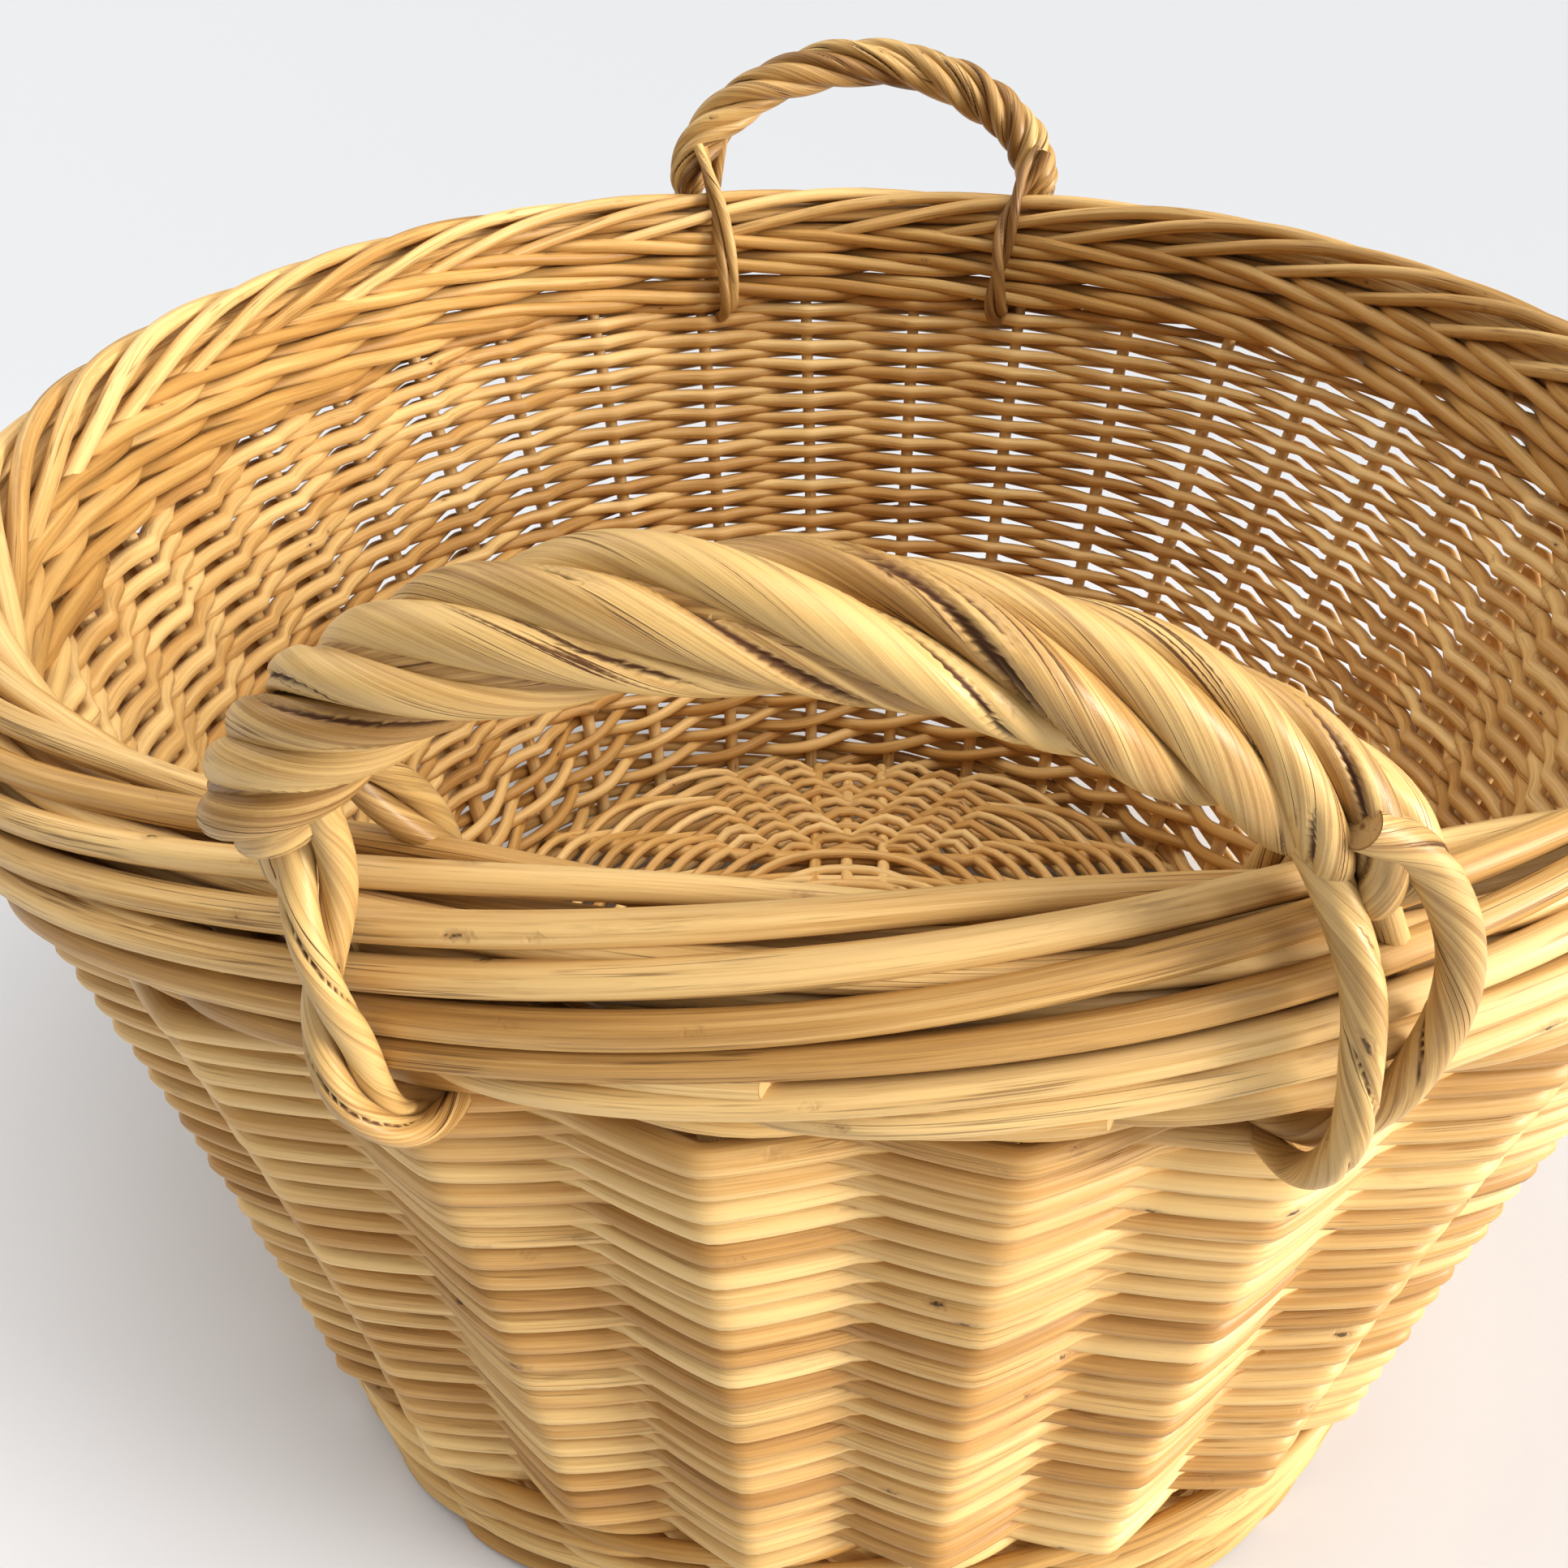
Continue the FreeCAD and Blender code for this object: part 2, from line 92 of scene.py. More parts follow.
# ------------------------------------------------------------- oval geometry
def circle_through(p, q, r):
    """Centre and radius of the circle through three (offset, z) points."""
    a = np.array((q, r), float) - np.array(p, float)
    b = (a * a).sum(axis=1) / 2.0
    centre = np.linalg.solve(a, b)
    return centre + np.array(p), float(np.hypot(*centre))


LEAN_CENTRE, LEAN_R = circle_through((0.0, 0.0), (FLARE_MID, FLARE_TOP_Z / 2.0), (FLARE_TOP, FLARE_TOP_Z))


def flare(z):
    """Offset of the stakes' centre line from the floor oval at height z."""
    side = math.copysign(1.0, LEAN_CENTRE[0])
    return LEAN_CENTRE[0] - side * np.sqrt(LEAN_R ** 2 - (np.asarray(z, float) - LEAN_CENTRE[1]) ** 2)


def oval_arcs():
    """Radii and centres of the side, corner and end arcs, which meet without a kink."""
    sag = 1.0 - math.cos(JOINT_SIDE)
    sine = math.sin(JOINT_SIDE)
    end_excess = sine * (HALF_WIDTH - CORNER_R) - sag * (HALF_LENGTH - CORNER_R)
    end_excess = end_excess / (sine ** 2 - sag ** 2)
    side_excess = (HALF_LENGTH - CORNER_R - sag * end_excess) / sine
    radii = np.array((CORNER_R + side_excess, CORNER_R, CORNER_R + end_excess))
    centres = np.array(((HALF_WIDTH - radii[0], 0.0), (sine * end_excess, sine * side_excess),
                        (0.0, HALF_LENGTH - radii[2])))
    return radii, centres


ARC_RADII, ARC_CENTRES = oval_arcs()
ARC_BOUNDS = np.array((0.0, JOINT_SIDE, JOINT_END, math.pi / 2.0))
END_R = ARC_RADII[2]
END_Y = ARC_CENTRES[2][1]
RIM_RUNS = np.concatenate(((0.0,), np.cumsum((ARC_RADII + BORDER_MID) * np.diff(ARC_BOUNDS))))


def heading_at(t):
    """Heading in radians of place t on the rim: stakes stand at whole numbers and a half, t = 0 is +X."""
    t = np.asarray(t, float)
    per_quarter = STAKES / 4.0
    quarter = np.floor(t / per_quarter)
    part = t - quarter * per_quarter
    odd = np.mod(quarter, 2) == 1
    run = np.where(odd, per_quarter - part, part) * RIM_RUNS[-1] / per_quarter
    angle = np.interp(run, RIM_RUNS, ARC_BOUNDS)
    return np.where(odd, (quarter + 1) * math.pi / 2.0 - angle, quarter * math.pi / 2.0 + angle)


def on_oval(t, offset, z):
    """Points of the basket at place t, that far outside the floor oval, at height z."""
    heading = heading_at(t)
    offset = np.broadcast_to(np.asarray(offset, float), heading.shape)
    z = np.broadcast_to(np.asarray(z, float), heading.shape)
    c, s = np.cos(heading), np.sin(heading)
    arc = np.searchsorted(ARC_BOUNDS[1:-1], np.arctan2(np.abs(s), np.abs(c)))
    radius = ARC_RADII[arc] + offset
    cx = np.sign(c) * ARC_CENTRES[arc, 0]
    cy = np.sign(s) * ARC_CENTRES[arc, 1]
    return np.stack((cx + c * radius, cy + s * radius, z), axis=-1)


def smooth_through(points, per_span):
    """A smooth line through every point, with that many stations to each span."""
    p = np.asarray(points, float)
    p = np.vstack((2 * p[0] - p[1], p, 2 * p[-1] - p[-2]))
    f = np.linspace(0.0, 1.0, per_span, endpoint=False)[:, None]
    out = []
    for a, b, c, d in zip(p[:-3], p[1:-2], p[2:-1], p[3:]):
        out.append(b + 0.5 * f * (c - a + f * (2 * a - 5 * b + 4 * c - d + f * (3 * (b - c) + d - a))))
    return np.vstack(out + [p[-2:-1]])


def wander(t, size, turns=(2, 5, 9), span=STAKES):
    """A slow drift along a closed round."""
    phases = rng.uniform(0.0, 2.0 * math.pi, len(turns))
    waves = []
    for rank, (count, phase) in enumerate(zip(turns, phases), start=1):
        waves.append(np.sin(2.0 * math.pi * count * t / span + phase) / rank)
    return size * np.sum(waves, axis=0)


# ---------------------------------------------------------------- rods to mesh
CRACK_WIDTH = 0.15            # radians round the rod
CRACK_DEPTH = 0.34            # share of the rod's radius
CRACK_WAVE = (0.12, 6.0)      # how far a crack strays round the rod, and over what length
CRACK_LOW = (0.0, 0.0, 14.0, -0.02)               # place round, place along, length, drift: lowest
CRACK_HIGH = (2.0 * math.pi, 1.0, 42.0, 0.02)     # and highest
ROUND_LUMPS = ((2, 0.025, 60.0), (3, 0.02, -41.0))    # lobes round the rod, share of its radius, length
LONG_LUMPS = ((0.02, 17.0), (0.02, 37.0))             # share of the radius, length
STEEP = 0.9                   # a rod that rises more steeply than this starts its sides from X
CUT_EDGE = 0.5                # value of "cut" at the edge of a cut end
CUT_MIDDLE = 1.0


def unit(v):
    """The same directions at length 1."""
    return v / np.maximum(np.linalg.norm(v, axis=-1, keepdims=True), 1e-9)


def frames(centre, closed, upright):
    """Direction, side and top of a rod at each station."""
    if closed:
        ahead = unit(np.roll(centre, -1, axis=0) - np.roll(centre, 1, axis=0))
    else:
        ahead = unit(np.gradient(centre, axis=0))
    if upright:
        side = unit(np.cross(ahead, UP))
        return ahead, side, np.cross(side, ahead)
    start = UP if abs(ahead[0][2]) < STEEP else np.array((1.0, 0.0, 0.0))
    side = [unit(np.cross(ahead[0], start))]
    for here in ahead[1:]:
        side.append(unit(side[-1] - here * np.dot(side[-1], here)))
    side = np.array(side)
    return ahead, side, np.cross(side, ahead)


class Rods:
    """Rods gathered into one mesh, with what the willow material reads from them."""

    def __init__(self):
        self.points = []
        self.quads = []
        self.fans = []
        self.rod = []
        self.tone = []
        self.cut = []
        self.crack = []
        self.count = 0

    def _store(self, points, rod, tone, cut, crack=None):
        self.points.append(points)
        self.rod.append(rod)
        self.tone.append(np.full(len(points), tone))
        self.cut.append(cut)
        self.crack.append(np.zeros(len(points)) if crack is None else crack)
        first = self.count
        self.count += len(points)
        return first

    def add(self, centre, radius, closed=False, upright=True, sides=10, tone=None, flat=1.0, cracks=0,
            slant=0.0, twist=0.0):
        """One rod. flat is its height over its width, cracks how many lengthwise splits it has, slant
        how obliquely its ends are cut, and twist how many turns its grain makes in a millimetre."""
        n = len(centre)
        radius = np.broadcast_to(np.asarray(radius, float), (n,))
        tone = rng.uniform(0.0, 1.0) if tone is None else tone
        seed = rng.uniform(0.0, 40.0, 3) * np.array((1.0, 1.0, 0.0))
        ahead, side, top = frames(centre, closed, upright)
        step = np.linalg.norm(np.diff(centre, axis=0), axis=1)
        along = np.concatenate(((0.0,), np.cumsum(step))) + rng.uniform(0.0, 5000.0)
        angle = np.arange(sides) * 2.0 * math.pi / sides
        shape = self._lumps(angle, along)
        open_crack = self._cracks(angle, along - along[0], cracks, twist)
        shape = shape * (1.0 - CRACK_DEPTH * open_crack)
        c = np.cos(angle)[None, :] * shape * radius[:, None]
        s = np.sin(angle)[None, :] * shape * (radius * flat)[:, None]
        skin = centre[:, None, :] + side[:, None, :] * c[..., None] + top[:, None, :] * s[..., None]
        if slant and not closed:
            skin[0] -= ahead[0] * (c[0] * slant)[:, None]
            skin[-1] += ahead[-1] * (s[-1] * slant)[:, None]
        if twist:
            grain = angle[None, :] + 2.0 * math.pi * twist * (along - along[0])[:, None]
            c = np.cos(grain) * radius[:, None]
            s = np.sin(grain) * radius[:, None]
        rod = np.stack((c, s, np.broadcast_to(along[:, None], c.shape)), axis=-1) + seed
        uncut = np.zeros(n * sides)
        first = self._store(skin.reshape(-1, 3), rod.reshape(-1, 3), tone, uncut, open_crack.ravel())
        ring = np.arange(sides)
        ring_after = np.roll(ring, -1)
        rows = np.arange(n if closed else n - 1)
        here = first + rows[:, None] * sides
        beyond = first + np.mod(rows + 1, n)[:, None] * sides
        corners = (here + ring, here + ring_after, beyond + ring_after, beyond + ring)
        self.quads.append(np.stack(corners, axis=-1).reshape(-1, 4))
        if not closed:
            self._cap(skin[0], rod[0], tone, reverse=True)
            self._cap(skin[-1], rod[-1], tone, reverse=False)

    @staticmethod
    def _lumps(angle, along):
        """How uneven a rod is round and along itself, 1 where it is true."""
        phases = rng.uniform(0.0, 2.0 * math.pi, len(ROUND_LUMPS) + len(LONG_LUMPS))
        shape = 1.0
        for (lobes, size, length), phase in zip(ROUND_LUMPS, phases):
            shape = shape + size * np.cos(lobes * angle[None, :] + phase + along[:, None] / length)
        swell = 1.0
        for (size, length), phase in zip(LONG_LUMPS, phases[len(ROUND_LUMPS):]):
            swell = swell + size * np.sin(along / length + phase)
        return shape * swell[:, None]

    @staticmethod
    def _cracks(angle, way, cracks, twist):
        """How deep the lengthwise splits are at each point of a rod's skin, 1 at their deepest."""
        depth = np.zeros((len(way), len(angle)))
        for _ in range(cracks):
            where, start, length, drift = rng.uniform(CRACK_LOW, CRACK_HIGH)
            run = (way - start * max(way[-1] - length, 1.0)) / length
            stray = CRACK_WAVE[0] * np.sin(way / CRACK_WAVE[1])
            line = where + (drift - 2.0 * math.pi * twist) * way + stray
            gap = np.mod(angle[None, :] - line[:, None] + math.pi, 2 * math.pi) - math.pi
            taper = np.sqrt(np.clip(4.0 * run * (1.0 - run), 0.0, 1.0))
            depth = np.maximum(depth, taper[:, None] * np.exp(-(gap / CRACK_WIDTH) ** 2))
        return depth

    def _cap(self, ring, rod, tone, reverse):
        """A cut end, with its own corners so that its edge stays crisp."""
        sides = len(ring)
        points = np.vstack((ring, ring.mean(axis=0)))
        cut = np.append(np.full(sides, CUT_EDGE), CUT_MIDDLE)
        first = self._store(points, np.vstack((rod, rod.mean(axis=0))), tone, cut)
        a = first + np.arange(sides)
        b = first + np.roll(np.arange(sides), -1)
        hub = np.full(sides, first + sides)
        self.fans.append(np.stack((b, a, hub) if reverse else (a, b, hub), axis=-1))

    def piece(self, name, slot, material, *nodes):
        """The finished piece, riding on the basket in place of these CAD nodes."""
        mesh = bpy.data.meshes.new(name)
        points = np.vstack(self.points) * MM
        faces = np.vstack(self.quads).tolist()
        if self.fans:
            faces += np.vstack(self.fans).tolist()
        mesh.from_pydata(points.tolist(), [], faces)
        mesh.shade_smooth()
        mesh.attributes.new("rod", "FLOAT_VECTOR", "POINT").data.foreach_set(
            "vector", (np.vstack(self.rod) * MM).astype(np.float32).ravel())
        for label, values in (("tone", self.tone), ("cut", self.cut), ("crack", self.crack)):
            mesh.attributes.new(label, "FLOAT", "POINT").data.foreach_set(
                "value", np.concatenate(values).astype(np.float32))
        mesh.materials.append(material)
        thing = bpy.data.objects.new(name, mesh)
        bpy.context.scene.collection.objects.link(thing)
        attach(thing, "root")
        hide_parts(*nodes)


# ------------------------------------------------------------------- materials
class Shader:
    """Short calls for building one material's nodes."""

    def __init__(self, name):
        self.material = bpy.data.materials.new(name)
        self.material.use_nodes = True
        self.tree = self.material.node_tree
        self.tree.nodes.clear()

    def node(self, kind, inputs=(), **settings):
        made = self.tree.nodes.new("ShaderNode" + kind)
        for key, value in settings.items():
            setattr(made, key, value)
        for key, value in dict(inputs).items():
            if isinstance(value, bpy.types.NodeSocket):
                self.tree.links.new(value, made.inputs[key])
            else:
                made.inputs[key].default_value = value
        return made

    def attribute(self, name, output):
        return self.node("Attribute", attribute_name=name).outputs[output]

    def math(self, operation, a, b=0.0, clamp=False):
        return self.node("Math", {0: a, 1: b}, operation=operation, use_clamp=clamp).outputs[0]

    def noise(self, vector, scale, detail=3.0, rough=0.55):
        stretched = self.node("VectorMath", {0: vector, 1: scale}, operation="MULTIPLY").outputs[0]
        inputs = {"Vector": stretched, "Scale": 1.0, "Detail": detail, "Roughness": rough}
        return self.node("TexNoise", inputs).outputs["Fac"]

    def span(self, value, low, high, to_low=0.0, to_high=1.0):
        inputs = {"Value": value, "From Min": low, "From Max": high, "To Min": to_low, "To Max": to_high}
        return self.node("MapRange", inputs, interpolation_type="SMOOTHSTEP").outputs["Result"]

    def mix(self, share, a, b):
        made = self.node("Mix", data_type="RGBA", blend_type="MIX")
        for index, value in ((0, share), (6, a), (7, b)):
            if isinstance(value, bpy.types.NodeSocket):
                self.tree.links.new(value, made.inputs[index])
            else:
                made.inputs[index].default_value = value
        return made.outputs[2]

    def ramp(self, value, stops):
        made = self.node("ValToRGB", {"Fac": value})
        stop_list = made.color_ramp.elements
        while len(stop_list) < len(stops):
            stop_list.new(0.5)
        for element, (place, colour) in zip(stop_list, stops):
            element.position = place
            element.color = (*colour, 1.0)
        return made.outputs["Color"]


# Colours that all the willow shares.
STAIN = (0.33, 0.20, 0.08, 1.0)
DIRT = (0.28, 0.14, 0.045, 1.0)
KNOT_HALO = (0.33, 0.17, 0.06, 1.0)
KNOT = (0.06, 0.03, 0.012, 1.0)
SPLIT = (0.105, 0.038, 0.008, 1.0)
# A cut end from its rim, where "cut" is CUT_EDGE, to its pith.
CUT_WOOD = ((0.5, (0.24, 0.12, 0.04)), (0.56, (0.54, 0.35, 0.15)), (0.9, (0.60, 0.41, 0.19)),
            (0.97, (0.28, 0.15, 0.05)))
# How often each pattern changes across and along a rod, to a metre, then its detail and roughness.
STREAK = ((1100.0, 1100.0, 14.0), 5.0, 0.68)
FIBRE = ((2600.0, 2600.0, 50.0), 2.0, 0.5)
BROAD = ((150.0, 150.0, 9.0), 3.0, 0.5)
PATCH = ((300.0, 300.0, 30.0), 5.0, 0.65)
RIDGE = ((520.0, 520.0, 7.0), 2.0, 0.5)
SPLIT_AREA = ((140.0, 140.0, 26.0), 2.0, 0.5)
KNOT_SCALE = (240.0, 240.0, 95.0)
KNOT_BEND = 900.0
KNOT_STRAY = (0.25, 0.25, 0.25)
KNOT_SHARE = 0.90             # knots show in the cells above this
KNOT_INNER = (0.04, 0.14)     # distances in a cell over which a knot fades out, then its halo
KNOT_OUTER = (0.08, 0.34)
# How light the wood is: shares of the rod's own tone, the broad pattern and the streaks, less a little.
TONE_SHARE = 0.40
BROAD_SHARE = 0.70
STREAK_SHARE = 1.3
LEVEL_DROP = 0.08
LEVELS = (0.0, 0.36, 0.64, 1.0)    # where the dark, middle, pale and palest colours stand
PALEST = 1.12                 # the lightest streaks against the pale colour
# Values of a pattern between which its mark grows to full strength, and how strong it is.
STAIN_SPAN = (0.58, 0.72)
DIRT_SPAN = (0.60, 0.78)
DIRT_SHARE = 0.8
HALO_SHARE = 0.40
KNOT_COVER = 0.85
SPLIT_LINE = 0.022
SPLIT_SPAN = (0.50, 0.60)
CRACK_SPAN = (0.35, 0.80)
# Relief of each pattern, in bump depths, and what splits add to the roughness.
STREAK_RELIEF = 0.7
FIBRE_RELIEF = 0.3
HALO_RELIEF = 0.9
KNOT_RELIEF = 1.2
SPLIT_RELIEF = 1.6
SPLIT_ROUGHER = 0.35
ROUGH_SPAN = (0.25, 0.8)      # streak values between which the roughness goes from lowest to highest
ROUGH_BELOW = 0.07
ROUGH_ABOVE = 0.16
BUMP_STRENGTH = 0.45
BUMP_DEPTH = 0.0004           # metres
FIXED_LOOK = {"Specular IOR Level": 0.38, "Coat Weight": 0.08, "Coat Roughness": 0.32, "IOR": 1.48}


def willow(name, dark, mid, pale, stain=0.35, grain=0.5, gloss=0.44, splits=0.3):
    """Peeled willow: streaks along the rod, broad stains, small knots, splits and darker cut ends."""
    s = Shader(name)
    rod = s.attribute("rod", "Vector")
    tone = s.attribute("tone", "Fac")
    cut = s.attribute("cut", "Fac")
    crack = s.attribute("crack", "Fac")
    streak = s.noise(rod, *STREAK)
    fibre = s.noise(rod, *FIBRE)
    broad = s.noise(rod, *BROAD)
    patch = s.noise(rod, *PATCH)
    level = s.math("MULTIPLY", tone, TONE_SHARE)
    level = s.math("ADD", level, s.math("MULTIPLY", broad, BROAD_SHARE))
    streaks = s.math("MULTIPLY", s.math("SUBTRACT", streak, 0.5), STREAK_SHARE * grain)
    level = s.math("SUBTRACT", s.math("ADD", level, streaks), LEVEL_DROP, clamp=True)
    light = tuple(min(1.0, PALEST * c) for c in pale)
    colour = s.ramp(level, tuple(zip(LEVELS, (dark, mid, pale, light))))
    marks = s.span(patch, *STAIN_SPAN)
    colour = s.mix(s.math("MULTIPLY", marks, stain), colour, STAIN)
    dirt = s.math("MULTIPLY", s.span(fibre, *DIRT_SPAN), DIRT_SHARE * grain)
    colour = s.mix(dirt, colour, DIRT)
    bent = s.node("TexNoise", {"Vector": rod, "Scale": KNOT_BEND, "Detail": 1.0}).outputs["Color"]
    cells = s.node("VectorMath", {0: rod, 1: KNOT_SCALE}, operation="MULTIPLY").outputs[0]
    cells = s.node("VectorMath", {0: bent, 1: KNOT_STRAY, 2: cells}, operation="MULTIPLY_ADD").outputs[0]
    knots = s.node("TexVoronoi", {"Vector": cells, "Scale": 1.0})
    cell = s.node("SeparateColor", {0: knots.outputs["Color"]}).outputs[0]
    chosen = s.math("GREATER_THAN", cell, KNOT_SHARE)
    near = s.math("MULTIPLY", s.span(knots.outputs["Distance"], *KNOT_INNER, 1.0, 0.0), chosen)
    halo = s.math("MULTIPLY", s.span(knots.outputs["Distance"], *KNOT_OUTER, 1.0, 0.0), chosen)
    colour = s.mix(s.math("MULTIPLY", halo, HALO_SHARE), colour, KNOT_HALO)
    colour = s.mix(s.math("MULTIPLY", near, KNOT_COVER), colour, KNOT)
    ridge = s.noise(rod, *RIDGE)
    line = s.math("ABSOLUTE", s.math("SUBTRACT", ridge, 0.5))
    where = s.span(s.noise(rod, *SPLIT_AREA), *SPLIT_SPAN)
    split = s.math("MULTIPLY", s.span(line, 0.0, SPLIT_LINE, 1.0, 0.0), s.math("MULTIPLY", where, splits))
    split = s.math("MAXIMUM", split, s.span(crack, *CRACK_SPAN))
    colour = s.mix(split, colour, SPLIT)
    wood = s.ramp(cut, CUT_WOOD)
    colour = s.mix(s.math("GREATER_THAN", cut, CUT_EDGE / 2.0), colour, wood)
    height = s.math("MULTIPLY", streak, STREAK_RELIEF)
    height = s.math("ADD", height, s.math("MULTIPLY", fibre, FIBRE_RELIEF))
    height = s.math("ADD", height, s.math("MULTIPLY", halo, HALO_RELIEF))
    height = s.math("SUBTRACT", height, s.math("MULTIPLY", near, KNOT_RELIEF))
    height = s.math("SUBTRACT", height, s.math("MULTIPLY", split, SPLIT_RELIEF))
    bump = s.node("Bump", {"Height": height, "Strength": BUMP_STRENGTH, "Distance": BUMP_DEPTH})
    rough = s.span(streak, *ROUGH_SPAN, gloss - ROUGH_BELOW, gloss + ROUGH_ABOVE)
    rough = s.math("ADD", rough, s.math("MULTIPLY", split, SPLIT_ROUGHER))
    shader = s.node("BsdfPrincipled", {
        "Base Color": colour,
        "Roughness": rough,
        "Normal": bump.outputs[0],
    })
    for socket, value in FIXED_LOOK.items():
        shader.inputs[socket].default_value = value
    out = s.node("OutputMaterial")
    s.tree.links.new(shader.outputs[0], out.inputs[0])
    return s.material


WEAVER = willow("willow_weavers", (0.29, 0.13, 0.03), (0.57, 0.33, 0.11), (0.78, 0.55, 0.245))
STAKE = willow("willow_stakes", (0.42, 0.22, 0.06), (0.68, 0.43, 0.16), (0.82, 0.60, 0.29))
WALE = willow("willow_wales", (0.32, 0.15, 0.035), (0.56, 0.325, 0.10), (0.75, 0.51, 0.21))
BORDER = willow("willow_border", (0.25, 0.115, 0.026), (0.54, 0.32, 0.107), (0.75, 0.525, 0.235),
                stain=0.55, grain=0.7, splits=0.55)
# Willow of the base: a paler copy of the wall's willow, painted light that makes the basket's floor look
# more brightly lit.
BASE_WILLOW_PAINTED_LIGHT = willow("willow_base_painted_light", (0.40, 0.21, 0.055), (0.68, 0.42, 0.15), (0.82, 0.59, 0.27))
HANDLE = willow("willow_handle", (0.13, 0.052, 0.012), (0.37, 0.21, 0.068), (0.62, 0.42, 0.17),
                stain=0.75, grain=0.85, gloss=0.36, splits=1.0)


# -------------------------------------------------------------------- the base
BASE_Z = (box_mm("base_weave")[0][2] + box_mm("base_weave")[1][2]) / 2.0
LONG_STICK_X = (-15.0, 0.0, 15.0)
SHORT_STICK_PITCH = 31.0
SHORT_STICKS = 9
BASE_STICK_R = 3.3            # at the end where a stick is thickest
LONG_STICK_END_R = 2.7
SHORT_STICK_END_R = 2.8
STICK_LIFT = 1.2              # the long sticks rise and fall this much between the short ones
STICK_FAN = 0.10              # the short sticks' ends spread by this share
BASE_WEAVER_R = 2.15
BASE_VARIES = (0.92, 1.06)    # thinnest and thickest weaver against BASE_WEAVER_R
BASE_ROW_PITCH = 4.4
BASE_FIRST_ROW = 2.0          # the outermost row is this far inside the base's edge
BASE_MIDDLE = 16.0            # half the width of the middle, which has no rows
BASE_PRESSED = 0.75           # share of a stick's radius by which a weaver stands off it
BASE_EDGE = 9.0               # the base stops this far inside the stakes
OUTLINE_POWER = 2.35          # a plain ellipse has 2, a squarer oval has more


def outline(inset, angle):
    """Point of the base's outline, that far in from the stakes."""
    c, s = np.cos(angle), np.sin(angle)
    across = np.abs(c / (HALF_WIDTH - inset)) ** OUTLINE_POWER
    along = np.abs(s / (HALF_LENGTH - inset)) ** OUTLINE_POWER
    reach = (across + along) ** (-1.0 / OUTLINE_POWER)
    return c * reach, s * reach


def base_sticks():
    """The slath: long sticks lying along the basket and short ones across."""
    long_sticks = Rods()
    short_sticks = Rods()
    for x in LONG_STICK_X:
        y = np.linspace(-1.0, 1.0, 41) * (HALF_LENGTH - BASE_EDGE)
        lift = STICK_LIFT * np.cos(math.pi * y / SHORT_STICK_PITCH)
        centre = np.stack((x + wander(y, 0.6, (1, 2, 3), 430.0), y, BASE_Z + lift), axis=-1)
        long_sticks.add(centre, np.linspace(BASE_STICK_R, LONG_STICK_END_R, len(y)), slant=0.4)
    for n in range(SHORT_STICKS):
        y = (n - (SHORT_STICKS - 1) / 2.0) * SHORT_STICK_PITCH
        left = 1.0 - (abs(y) / (HALF_LENGTH - BASE_EDGE)) ** OUTLINE_POWER
        half = (HALF_WIDTH - BASE_EDGE) * left ** (1.0 / OUTLINE_POWER)
        x = np.linspace(-half, half, 33)
        fan = y * (1.0 + STICK_FAN * (x / half) ** 2)
        fan = fan + wander(x, 0.5, (1, 2, 3), 320.0)
        centre = np.stack((x, fan, np.full(len(x), BASE_Z)), axis=-1)
        short_sticks.add(centre, np.linspace(BASE_STICK_R, SHORT_STICK_END_R, len(x)), slant=0.4)
    long_sticks.piece("base_long_rods", "base_sticks", BASE_WILLOW_PAINTED_LIGHT, "base_long_sticks")
    short_sticks.piece("base_short_rods", "base_sticks", BASE_WILLOW_PAINTED_LIGHT, "base_short_sticks")


def stick_count(x, y):
    """How many sticks a round has crossed at each of its points, whole at a crossing."""
    short = y / SHORT_STICK_PITCH
    long = x / LONG_STICK_X[-1]
    limit = (SHORT_STICKS - 1) / 2.0
    beyond = np.clip(np.abs(short) - limit, 0.0, None)
    past = np.clip(1.0 - np.abs(long) / 4.0, 0.0, 1.0)
    at_end = np.sign(short) * (limit + beyond) + np.sign(short) * len(LONG_STICK_X) * past
    return np.where(np.abs(short) <= limit, short, at_end)


def base_weave():
    """Rounds woven over one stick and under the next, from the base's edge to its middle."""
    rods = Rods()
    rows = int((HALF_WIDTH - BASE_EDGE - BASE_MIDDLE) / BASE_ROW_PITCH)
    amplitude = BASE_STICK_R * BASE_PRESSED + BASE_WEAVER_R
    for row in range(rows):
        inset = BASE_EDGE + BASE_FIRST_ROW + row * BASE_ROW_PITCH
        stations = max(48, int((HALF_WIDTH + HALF_LENGTH - 2 * inset) * 0.62))
        angle = np.arange(stations) * 2.0 * math.pi / stations
        x, y = outline(inset, angle)
        count = stick_count(x, y)
        z = BASE_Z + amplitude * np.sin(math.pi * (count + 0.5 + row))
        radius = BASE_WEAVER_R * rng.uniform(*BASE_VARIES)
        rods.add(np.stack((x, y, z), axis=-1), radius, closed=True, sides=8)
    rods.piece("base_weavers", "base_weave", BASE_WILLOW_PAINTED_LIGHT, "base_weave")


# -------------------------------------------------------------------- the wall
def stakes():
    """The uprights, from the bottom round to the border."""
    top_z = box_mm("top_wale_3")[1][2] - STAKE_TOP_DROP
    groups = {"stakes_back_right": Rods(), "stakes_back_left": Rods(),
              "stakes_front_left": Rods(), "stakes_front_right": Rods()}
    for n in range(STAKES):
        t = n + 0.5
        z = np.linspace(STAKE_Z0, top_z, 40)
        sway = STAKE_SWAY[0] * np.sin(z / STAKE_SWAY[1] + rng.uniform(0.0, 6.0))
        centre = on_oval(t + sway, flare(z), z)
        radius = np.linspace(STAKE_FOOT_R, STAKE_TOP_R, len(z))
        rods = list(groups.values())[n // (STAKES // 4)]
        rods.add(centre, radius, upright=False, slant=0.5, tone=rng.uniform(*STAKE_TONES))
    for name, rods in groups.items():
        rods.piece(name.replace("stakes", "uprights"), "stakes", STAKE, name)


